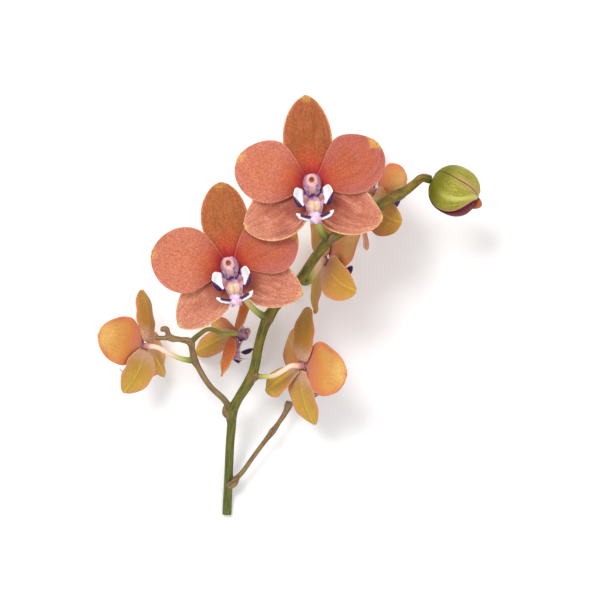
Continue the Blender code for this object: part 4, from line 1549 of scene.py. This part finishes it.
BLOOMS = {
    "a": Bloom((5.1, 49.0, 69.0), 4, 270, 94, {
        "dorsal_sepal": replace(SEPAL, length=35.5, sweep=8),
        "left_petal": replace(PETAL, spread=-65, pitch=9, bend=-16, cup=8, sweep=25, length=31.5,
                              width=27, light=0.4),
        "right_petal": replace(PETAL, spread=60, pitch=9, cup=8, sweep=-36, length=31,
                               width=26, widest=0.59),
        "left_sepal": replace(SEPAL, spread=-118, pitch=5, cup=10, sweep=34, length=32.5,
                              width=23.5, widest=0.5, blunt=0.56),
        "right_sepal": replace(SEPAL, spread=120, sweep=-40, length=32, width=23, widest=0.42,
                               blunt=0.58)},
        lip_roll=2,
        stalk=[(12.1, 25.9, 50, 1.9), (9.2, 29.4, 53, 1.6), (7.2, 34.2, 57, 1.35),
               (5.9, 41.5, 60.8, 1.3)]),
    "b": Bloom((-29.5, 14.5, 59.0), 6, 240, 97, {
        "dorsal_sepal": replace(SEPAL, pitch=5, bend=-13, length=34, width=20.5, widest=0.53,
                                blunt=0.47, light=0.3),
        "left_petal": replace(PETAL, spread=-73, pitch=16, bend=-8, cup=12, sweep=3, twist=8,
                              length=32.5, width=29, light=0.55),
        "right_petal": replace(PETAL, spread=70, pitch=9, sweep=12, length=30, width=26,
                               widest=0.6),
        "left_sepal": replace(SEPAL, spread=-132, sweep=11, length=32.5, widest=0.42, light=0.2),
        "right_sepal": replace(SEPAL, spread=118, sweep=-13, length=31, width=21.5, blunt=0.6,
                               light=0.15)},
        lip_roll=4.5,
        stalk=[(-14.4, -7.9, 38, 1.8), (-19.1, -4.8, 43, 1.4), (-23.2, -0.1, 47, 1.3),
               (-27.6, 8, 51, 1.3)]),
    "c": Bloom((-67.9, -20.3, 27.6), 125, 175, 90, {
        "dorsal_sepal": replace(SEPAL, spread=-13, pitch=9, bend=22, cup=20, sweep=10, twist=-4,
                                length=24.5, width=14.2, blunt=0.4),
        "left_petal": replace(PETAL, spread=-104, pitch=17, bend=5, cup=26, sweep=11, twist=8,
                              length=27, width=21),
        "right_petal": replace(PETAL, spread=80, pitch=4, bend=6, cup=-8, twist=5, length=26.5,
                               width=21.5, widest=0.42),
        "left_sepal": replace(SEPAL, spread=-127, pitch=3, bend=14, cup=20, sweep=-5, twist=-10,
                              length=22, width=7.5, claw=0.1),
        "right_sepal": replace(SEPAL, spread=159, pitch=4, bend=20, cup=-15, sweep=-16,
                               length=21, width=20.5, widest=0.4, blunt=0.5)},
        size=0.92,
        stalk=[(-46.5, -27, 24.5, 1.5), (-52.7, -25.8, 27.5, 1.15), (-57.9, -23.4, 30, 1.1)]),
    "d": Bloom((0.9, -29.0, 30.0), 128, -2, 58, {
        "dorsal_sepal": replace(SEPAL, spread=8, pitch=-11, bend=17, cup=4, sweep=-16, twist=9,
                                length=24.5, width=16, blunt=0.42),
        "left_petal": replace(PETAL, spread=-74, pitch=-2, bend=9, cup=-12, sweep=-5, twist=-14,
                              length=26.5, width=24, widest=0.44),
        "right_petal": replace(PETAL, spread=78, pitch=16, bend=8, cup=6, sweep=-2, twist=-8,
                               length=26, width=21),
        "left_sepal": replace(SEPAL, spread=-163, pitch=10, bend=22, cup=-12, sweep=24, twist=3,
                              length=26, width=18.5, widest=0.41, rise=1.4),
        "right_sepal": replace(SEPAL, spread=140, pitch=-9, bend=4, cup=6, sweep=6, twist=-2,
                               length=22.5, width=12, widest=0.72, rise=1.5, claw=0.1, level=-0.7)},
        size=0.92,
        stalk=[(-21.2, -33.5, 27, 1.6), (-16.3, -33.7, 29.5, 1.15), (-11.9, -33.3, 31.5, 1.1),
               (-7.4, -31.0, 33, 1.15)]),
    "e": Bloom((11.5, 17.2, 27.5), 117, -10, 124, {
        "dorsal_sepal": replace(SEPAL, spread=17, pitch=-3, bend=7, cup=24, sweep=-8, twist=-5,
                                length=28, width=19),
        "left_petal": replace(PETAL, spread=-77, pitch=-1, bend=5, cup=2, sweep=-5, twist=6,
                              length=26.5, width=24, widest=0.5),
        "right_petal": replace(PETAL, spread=84, pitch=16, bend=8, cup=6, sweep=-2, twist=-8,
                               length=26, width=23.5, ember=0.25),
        "left_sepal": replace(SEPAL, spread=-134, pitch=-8, bend=23, cup=-24, sweep=28, twist=-3,
                              length=29.5, width=18.5, widest=0.4, ember=0.2),
        "right_sepal": replace(SEPAL, spread=119, pitch=6, bend=21, cup=-4, sweep=11,
                               length=29, width=13.5, widest=0.53)},
        size=0.92, bent=True,
        stalk=[(0.9, 8.0, 45.2, 1.6), (2.9, 7.8, 43.2, 1.6), (5.0, 10.6, 40, 1.8),
               (7.2, 14.6, 35.6, 2.0), (8.7, 17.0, 32.0, 2.0)]),
    "f": Bloom((32.7, 48.1, 25.6), 115, -6, 115, {
        "dorsal_sepal": replace(SEPAL, spread=17, pitch=-3, bend=7, cup=24, sweep=-8, twist=-5,
                                length=26, width=17),
        "left_petal": replace(PETAL, spread=-93, pitch=-2, bend=9, cup=-12, sweep=5, twist=9,
                              length=24.5, width=20.5, widest=0.42, ember=0.2),
        "right_petal": replace(PETAL, spread=84, pitch=16, bend=8, cup=6, sweep=-2, twist=-8,
                               length=24, width=22),
        "left_sepal": replace(SEPAL, spread=-130, pitch=-11, bend=25, cup=-25, sweep=39,
                              length=30, width=21, widest=0.43, ember=0.15),
        "right_sepal": replace(SEPAL, spread=134, pitch=1, bend=29, cup=-14, sweep=13, twist=-38,
                               length=29.5, width=13.5, widest=0.41)},
        size=0.92,
        stalk=[(38.5, 43.4, 52.5, 1.7), (33.5, 42.5, 47.5, 1.3), (27.5, 45.0, 38.5, 1.2)]),
    "g": Bloom((-28.7, -14.6, 24.0), 131, 5, 54, {
        "dorsal_sepal": replace(SEPAL, spread=-2, pitch=-2, bend=-4, cup=50, sweep=4, twist=10,
                                length=24, width=7, widest=0.4, claw=0.5, ember=0.7),
        "left_petal": replace(PETAL, spread=-167, pitch=-14, bend=2, cup=20, length=18, width=8,
                              widest=0.3, blunt=0.9, claw=0.5, level=-1.2, ember=0.85),
        "right_petal": replace(PETAL, spread=114, pitch=8, bend=9, cup=0, sweep=13, twist=7,
                               length=22.5, width=12),
        "left_sepal": replace(SEPAL, spread=179, pitch=-10, bend=0.1, cup=10, level=0.1,
                              length=15, width=5, widest=0.7, claw=0.2),
        "right_sepal": replace(SEPAL, spread=134, pitch=-6, bend=9, cup=14, sweep=5, twist=-12,
                               length=27.5, width=11.5, widest=0.55)},
        size=0.8, lip_pitch=-14, tone=Tone.GREEN_STALK,
        stalk=[(-48.4, -18.8, 26, 1.4), (-44.2, -15.0, 26.5, 1.1), (-40.3, -12.9, 27.5, 1.0)]),
}


@dataclass(frozen=True)
class Bract:
    """A small scale leaf that clasps the stem at a node."""

    at: Point
    along: Point
    out: Point
    length: float
    width: float

    def build(self, blades: BladeRecipe, finish: Finish) -> bpy.types.Mesh:
        """The bract's mesh."""
        blade = replace(BRACT, length=self.length, width=self.width)
        return blades.run(blade, frame_along(self.at, self.along, self.out), finish, (32, 20))


@dataclass(frozen=True)
class Spike:
    """The stem with its branches, flower stalks and bracts, grown as one piece."""

    BLOCK: ClassVar[int] = 2000  # points whose distances are worked out at once
    CLASP: ClassVar[float] = 0.35  # how near to a bract a point takes its colour
    STEP: ClassVar[float] = 0.5  # distance between the points of a line that give the skin its tone
    SWELL: ClassVar[tuple[float, float]] = (2.25, 2.75)  # radii over which the main stem browns
    SWELL_TONE: ClassVar[Point] = (0.0, 0.5, 0.0)  # what a full swelling adds to the tone

    voxel: float = 0.3
    finish: StemFinish = StemFinish()
    main: tuple[Knot, ...] = (
        (-33.1, -97.3, 1.45, 2.1), (-33, -94.5, 1.45, 2.1), (-32, -76.5, 8, 2),
        (-31.3, -64, 13, 2), (-30.5, -55.2, 17.5, 2.1), (-30.4, -50.7, 19.5, 2.6),
        (-29.5, -48, 20.5, 2.3), (-27.4, -43.9, 22.5, 2.1), (-21.6, -34.4, 27, 2.5),
        (-20.3, -30.8, 28.5, 2.2), (-17.9, -19.1, 33, 2.1), (-15.5, -11.2, 36.5, 2.3),
        (-14, -7.9, 38, 2.8), (-11.1, -3.5, 40, 2.2), (-5.2, 3, 43, 2.2), (0.5, 9.6, 46, 2.1),
        (4.8, 16.0, 48, 2.1), (9.7, 22.6, 49.5, 2.2), (12.4, 25.6, 50, 2.5),
        (15.4, 27.6, 50.6, 2.2), (25.9, 34.5, 52.2, 2.2), (34.0, 40.0, 52.8, 2.2),
        (39.9, 44.3, 52.6, 2.6), (41.7, 45.1, 52.2, 2.5), (45.2, 46.9, 50.8, 2.1),
        (49.8, 50.5, 48.2, 1.9), (53.0, 52.8, 46.2, 1.9), (56.4, 52.3, 44.4, 2.0))
    left: tuple[Knot, ...] = (
        (-30.4, -50.7, 19.5, 1.6), (-32.7, -45.6, 20.5, 1.45), (-40.2, -37.8, 22.5, 1.3),
        (-45.1, -29.7, 24, 1.35), (-46.5, -27, 24.5, 1.75), (-47.7, -21.9, 25.5, 1.35),
        (-48.4, -18.8, 26, 1.8), (-53.1, -17.4, 26.3, 1.2), (-57.2, -16.6, 26.5, 1.7),
        (-58.2, -15, 26.8, 1.15), (-59.1, -12.6, 27, 1.15), (-60.7, -12.9, 27, 1.3),
        (-61.6, -12.8, 27, 0.9))
    spent_stalk: tuple[Knot, ...] = (
        (-57.2, -16.6, 26.5, 1.3), (-60.5, -16.8, 26.9, 1), (-63.1, -16.7, 27, 1.1),
        (-64.1, -16.7, 27, 0.8))
    spent_branch: tuple[Knot, ...] = (
        (-31.1, -82.4, 6.4, 1.3), (-26.6, -78.2, 7.6, 1.15), (-21.3, -70.9, 9, 1.1),
        (-15.3, -62.8, 10, 1.15), (-12.3, -59, 10.4, 1.5), (-9.3, -54.7, 10.8, 1.1),
        (-6.3, -50, 11.2, 1.3), (-5.2, -47.3, 11.5, 1.9), (-4.6, -45.5, 11.8, 1.6))
    bracts: tuple[Bract, ...] = (
        Bract((-31.6, -52.6, 18.6), (-0.3, 1, 0.4), (-0.9, -0.2, 0.6), 6.5, 4.6),
        Bract((-32.4, -84.2, 7.0), (0.9, 0.9, 0.2), (0.3, -0.3, 1), 7.5, 4.4),
        Bract((12.9, 24.6, 51.4), (0.1, 1, 0.25), (0.5, 0.1, 1), 5.0, 3.8),
        Bract((-13.4, -61.0, 11.2), (0.5, 0.9, 0.1), (-0.4, 0.3, 1), 5.0, 3.4),
        Bract((40.0, 43.6, 51.0), (0.6, 0.2, -0.2), (0.5, -0.8, -0.4), 6.0, 3.6),
        Bract((-21.6, -35.4, 28.2), (0.5, 0.6, 0.3), (0.6, -0.4, 0.8), 4.5, 4.0),
        Bract((-0.2, 7.6, 44.0), (0.5, 0.7, 0.2), (0.5, -0.5, 0.2), 4.5, 4.0))

    def lines(self) -> list[tuple[Sequence[Knot], Tone]]:
        """Every line of the stem, the branches and the stalks.

        Returns:
            Each line with its tone.
        """
        own = [(self.main, Tone.STEM), (self.left, Tone.LEFT), (self.spent_stalk, Tone.LEFT),
               (self.spent_branch, Tone.SPENT)]
        return own + [(bloom.stalk_path(), bloom.tone) for bloom in BLOOMS.values()]

    def build(self, blades: BladeRecipe, tubes: TubeRecipe) -> None:
        """Makes the stem's skin.

        Args:
            blades: The rule for its bracts.
            tubes: The rule for its lines.
        """
        lines = self.lines()
        parts = [tubes.run(line, self.finish) for line, _ in lines]
        clasps = [bract.build(blades, self.finish) for bract in self.bracts]
        skin = grown_together(parts + clasps, self.finish, self.voxel)
        points = points_of(skin)
        points[:, 2] = np.maximum(points[:, 2], 0.0)
        set_points(skin, points)
        self._mark(skin, lines, clasps)
        show("flower_spike", skin, self.finish)

    def _mark(self, skin: bpy.types.Mesh, lines: Sequence[tuple[Sequence[Knot], Tone]],
              clasps: Sequence[bpy.types.Mesh]) -> None:
        """Tells each point of the skin its tone and its place along the grain.

        Args:
            skin: The finished skin.
            lines: The lines of the stem with their tones.
            clasps: The bracts.
        """
        spots, tones, ways, heads = [], [], [], []
        for line, tone in lines:
            knots = np.asarray(line, float)
            steps = np.concatenate([[0], np.cumsum(np.linalg.norm(np.diff(knots[:, :3], axis=0),
                                                                  axis=1))])
            way = np.arange(0, steps[-1], self.STEP)
            fine = np.stack([np.interp(way, steps, knots[:, i]) for i in range(4)], -1)
            share = (way / steps[-1])[:, None]
            start, end = (np.array(ends) for ends in tone.value)
            swell = np.interp(fine[:, 3], self.SWELL, (0, 1)) if tone is Tone.STEM else 0 * way
            spots.append(fine)
            head = np.gradient(fine[:, :3], way, axis=0)
            heads.append(head / np.linalg.norm(head, axis=1, keepdims=True))
            tones.append(start * (1 - share) + end * share + swell[:, None] * self.SWELL_TONE)
            ways.append(way)
        spot, tone, way, head = (np.concatenate(rows) for rows in (spots, tones, ways, heads))
        points = points_of(skin)
        nearest = np.concatenate([
            (np.linalg.norm(block[:, None, :] - spot[None, :, :3], axis=-1) - spot[:, 3]).argmin(1)
            for block in np.array_split(points, max(1, len(points) // self.BLOCK))])
        off = points - spot[nearest, :3]
        ahead = (off * head[nearest]).sum(axis=1)
        off = off - ahead[:, None] * head[nearest]
        grain = np.stack([way[nearest] + ahead, off[:, 0] + off[:, 1], off[:, 2]], -1)
        shades = tone[nearest]
        leaf = kd_tree(np.concatenate([points_of(mesh) for mesh in clasps]))
        close = np.array([leaf.find(Vector(point))[2] < self.CLASP for point in points])
        shades[close] = Tone.BRACT.value[1]
        keep_vectors(skin, "grain", grain)
        keep_vectors(skin, "tone", shades)


@dataclass(frozen=True)
class Bud:
    """The bud at the tip: three sepals closed over crimson petals."""

    BEAK: ClassVar[tuple[Point, ...]] = (  # share of the length, radius and sideways drop
        (0.97, 2.8, 0.4), (1.0, 2.6, 0.35), (1.03, 2.2, 0.3), (1.06, 1.7, 0.3), (1.08, 1.2, 0.3),
        (1.09, 0.8, 0.3))
    FULL: ClassVar[float] = 2.4  # power that makes the form an egg: 2 is a plain ellipse
    OPEN: ClassVar[float] = 3.2  # power by which the slit opens towards the tip
    CLOSE: ClassVar[float] = 6  # power by which the slant ends behind the stalk
    ROUND: ClassVar[float] = 0.4  # power that rounds the sepals' margins
    SEPAL_SPAN: ClassVar[tuple[float, float]] = (0.02, 0.93)  # shares: where a sepal starts, its length
    CORE_SPAN: ClassVar[tuple[float, float, int]] = (0.09, 0.92, 26)  # first share, last share, rings
    CORE_TIP: ClassVar[float] = 1.13  # share that the beak's last point counts as
    RIDGE: ClassVar[float] = 4.0  # degrees over which the petals rise into the slit
    DEEP: ClassVar[float] = 0.45  # how far the petals lie under the sepals' inner side
    SHALLOW: ClassVar[float] = 0.1  # how far they lie under the bud's form in the slit

    centre: Point = (66.9, 47.2, 44.0)
    aim: float = -27.0  # which way it points, seen from above
    length: float = 22.6
    radius: float = 10.7
    shell: float = 1.1  # thickness of a sepal
    seam: float = 0.35  # gap between two sepals
    slit: float = 112.0  # degrees by which the left sepal draws back at the tip
    slant: float = 36.0  # degrees by which the seams turn beside the stalk
    keel: float = 0.5
    sepals: Mapping[str, tuple[float, float]] = field(default_factory=lambda: {
        "bud_dorsal_sepal": (26, 140), "bud_left_sepal": (-84, 26),
        "bud_right_sepal": (140, 258)})
    sepal_finish: BudFinish = BudFinish()
    core_finish: BudCoreFinish = BudCoreFinish()

    def reach(self, share: np.ndarray) -> np.ndarray:
        """Radius of the closed bud at a share of its length."""
        return self.radius * np.sqrt(np.maximum(1 - np.abs(2 * share - 1) ** self.FULL, 0))

    def axes(self) -> tuple[np.ndarray, np.ndarray, np.ndarray]:
        """The bud's axes.

        Returns:
            The directions along it from the stalk, to its side, and up.
        """
        aim = math.radians(self.aim)
        along = np.array([math.cos(aim), math.sin(aim), 0.0])
        up = np.array([0.0, 0.0, 1.0])
        return along, np.cross(up, along), up

    def spot(self, share: np.ndarray, angle: np.ndarray, radius: np.ndarray) -> np.ndarray:
        """Points round the bud.

        Args:
            share: Shares of its length.
            angle: Angles from straight up, in degrees.
            radius: Distances from its axis.

        Returns:
            The points.
        """
        along, side, up = self.axes()
        centre = np.array(self.centre) + along * (share - 0.5)[..., None] * self.length
        turn = np.radians(angle)
        ring = np.cos(turn)[..., None] * up + np.sin(turn)[..., None] * side
        return centre + radius[..., None] * ring

    def edges(self, name: str, share: np.ndarray) -> tuple[np.ndarray, np.ndarray]:
        """The two angles between which a sepal lies.

        Args:
            name: Which sepal.
            share: Shares of the bud's length.

        Returns:
            The lower and the upper angle, in degrees.
        """
        start, stop = (angle + 0.0 * share for angle in self.sepals[name])
        if name == "bud_left_sepal":
            return start + self.slit * share ** self.OPEN, stop + self.slant * (1 - share) ** self.CLOSE
        if name == "bud_dorsal_sepal":
            return start + self.slant * (1 - share) ** self.CLOSE, stop
        return start, stop

    def sepal(self, name: str, rows: int = 44, columns: int = 72) -> bpy.types.Mesh:
        """One sepal of the bud as a plump shell.

        Args:
            name: Which sepal.
            rows: Points along it.
            columns: Points round its section.

        Returns:
            The mesh.
        """
        first, reach = self.SEPAL_SPAN
        share = first + reach * (1 - np.cos(np.linspace(0, np.pi, rows))) / 2
        turn = 2 * np.pi * np.arange(columns) / columns
        share, turn = np.meshgrid(share, turn, indexing="ij")
        across, side = np.cos(turn), np.sin(turn)
        inner = np.maximum(self.reach(share) - self.shell, 1.0)
        seam = np.degrees(self.seam / 2 / inner)
        start, stop = self.edges(name, share)
        low, high = start + seam, stop - seam
        angle = (low + high) / 2 + across * (high - low) / 2
        half = np.radians((high - low) / 2) * self.reach(share)
        plump = np.sign(side) * np.abs(side) ** self.ROUND * self.shell / 2
        rib = np.exp(-(across * half) ** 2) * self.keel * (side > 0) * np.sin(np.pi * share)
        radius = np.maximum(self.reach(share) - self.shell / 2 + plump + rib, 0.05)
        points = self.spot(share, angle, radius)
        ends = np.stack([points[0].mean(axis=0), points[-1].mean(axis=0)])
        made = mesh_from(name, np.concatenate([points.reshape(-1, 3), ends]),
                         ring_faces(rows, columns))
        rim = (1 - np.abs(across)) * half
        place = np.stack([share, across, side], -1).reshape(-1, 3)
        far = np.stack([rim, across * half, 0 * rim], -1).reshape(-1, 3)
        tail = np.array([[share[0, 0], 0, 0], [share[-1, 0], 0, 0]])
        keep_vectors(made, "blade_place", np.concatenate([place, tail]))
        keep_vectors(made, "blade_reach", np.concatenate([far, 0 * tail]))
        made.materials.append(self.sepal_finish.material())
        return made

    def core(self, sides: int = 96) -> bpy.types.Mesh:
        """The petals inside the bud: a ridge fills the slit and their tip pokes out.

        Args:
            sides: Points round them.

        Returns:
            The mesh.
        """
        angle = np.arange(sides) * 360.0 / sides
        rings, shares = [], []
        for share in np.linspace(*self.CORE_SPAN):
            here = np.full(sides, share)
            low = self.edges("bud_right_sepal", here)[1]
            high = 360 + self.edges("bud_left_sepal", here)[0]
            inside = np.minimum(angle_gap(angle, low), angle_gap(high, angle))
            ridge = np.clip(inside / self.RIDGE, 0, 1)
            inset = (self.shell + self.DEEP) * (1 - ridge) + self.SHALLOW * ridge
            rings.append(self.spot(here, angle, np.maximum(self.reach(here) - inset, 0.3)))
            shares.append(here)
        for share, radius, drop in self.BEAK:
            here = np.full(sides, share)
            ring = self.spot(here, angle, np.full(sides, radius))
            rings.append(ring - self.axes()[1] * drop)
            shares.append(here)
        ends = [rings[0].mean(axis=0, keepdims=True), rings[-1].mean(axis=0, keepdims=True)]
        ends[1] = ends[1] + self.axes()[0] * 0.3
        made = mesh_from("bud_petals", np.concatenate(rings + ends),
                         [face[::-1] for face in ring_faces(len(rings), sides)])
        share = np.concatenate(shares + [[self.CORE_SPAN[0], self.CORE_TIP]])
        keep_vectors(made, "blade_place", np.stack([share, 0 * share, 0 * share], -1))
        made.materials.append(self.core_finish.material())
        return made

    def build(self) -> None:
        """Makes the bud's three sepals and its petals."""
        for name in self.sepals:
            show(name, self.sepal(name), self.sepal_finish)
        show("bud_petals", self.core(), self.core_finish)


def angle_gap(later: np.ndarray | float, earlier: np.ndarray | float) -> np.ndarray:
    """How far one angle is past another, from -180 to 180 degrees."""
    return (np.asarray(later) - np.asarray(earlier) + 180.0) % 360.0 - 180.0


@dataclass(frozen=True)
class Lamp:
    """A square soft light that looks at the orchid, in metres and watts."""

    name: str
    at: Point
    size: float
    power: float

    def build(self) -> None:
        """Hangs the light."""
        data = bpy.data.lights.new(self.name, "AREA")
        data.size = self.size
        data.energy = self.power
        lamp = placed(self.name, data)
        lamp.location = self.at
        lamp.rotation_euler = (-Vector(self.at)).to_track_quat("-Z", "Y").to_euler()


@dataclass(frozen=True)
class Studio:
    """The pale floor, the soft light and the camera straight above."""

    camera_height: float = 1020.0
    lens: float = 135.0
    sensor: float = 36.0
    floor_half: float = 4.0  # half the floor's side, in metres
    sky: float = 0.62  # strength of the light from all round
    lamps: tuple[Lamp, ...] = (Lamp("key", (-0.55, 0.75, 1.5), 0.7, 21.0),
                               Lamp("fill", (0.8, -0.6, 1.3), 1.3, 11.0))
    finish: FloorFinish = FloorFinish()

    def build(self) -> None:
        """Sets the floor, the lights and the camera."""
        half = self.floor_half
        corners = np.array([(-half, -half, 0), (half, -half, 0), (half, half, 0), (-half, half, 0)])
        mesh = mesh_from("floor", corners, [(0, 1, 2, 3)])
        mesh.materials.append(self.finish.material())
        floor = placed("floor", mesh)
        for lamp in self.lamps:
            lamp.build()
        world = bpy.data.worlds.new("studio")
        world.use_nodes = True
        sky = world.node_tree.nodes["Background"].inputs
        sky["Color"].default_value = (1.0, 1.0, 1.0, 1.0)
        sky["Strength"].default_value = self.sky
        bpy.context.scene.world = world
        bpy.context.scene.view_settings.view_transform = "Standard"
        data = bpy.data.cameras.new("camera")
        data.lens = self.lens
        data.sensor_width = self.sensor
        camera = placed("camera", data)
        camera.location = (-ORIGIN[0] * MM, -ORIGIN[1] * MM, self.camera_height * MM)
        bpy.context.scene.camera = camera


def main() -> None:
    """Loads the frame, dresses the spray and keeps its size."""
    logging.basicConfig(level=logging.INFO, format="%(message)s", stream=sys.stdout)
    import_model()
    Studio().build()
    blades, tubes = BladeRecipe(), TubeRecipe()
    lip, column = LipMould(), ColumnMould()
    casts = {"lip": (lip.cast(blades, tubes), lip.finish),
             "column": (column.cast(tubes), column.finish)}
    Spike().build(blades, tubes)
    for key, bloom in BLOOMS.items():
        bloom.build(key, blades, casts)
    Bud().build()
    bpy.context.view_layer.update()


if __name__ == "__main__":
    main()
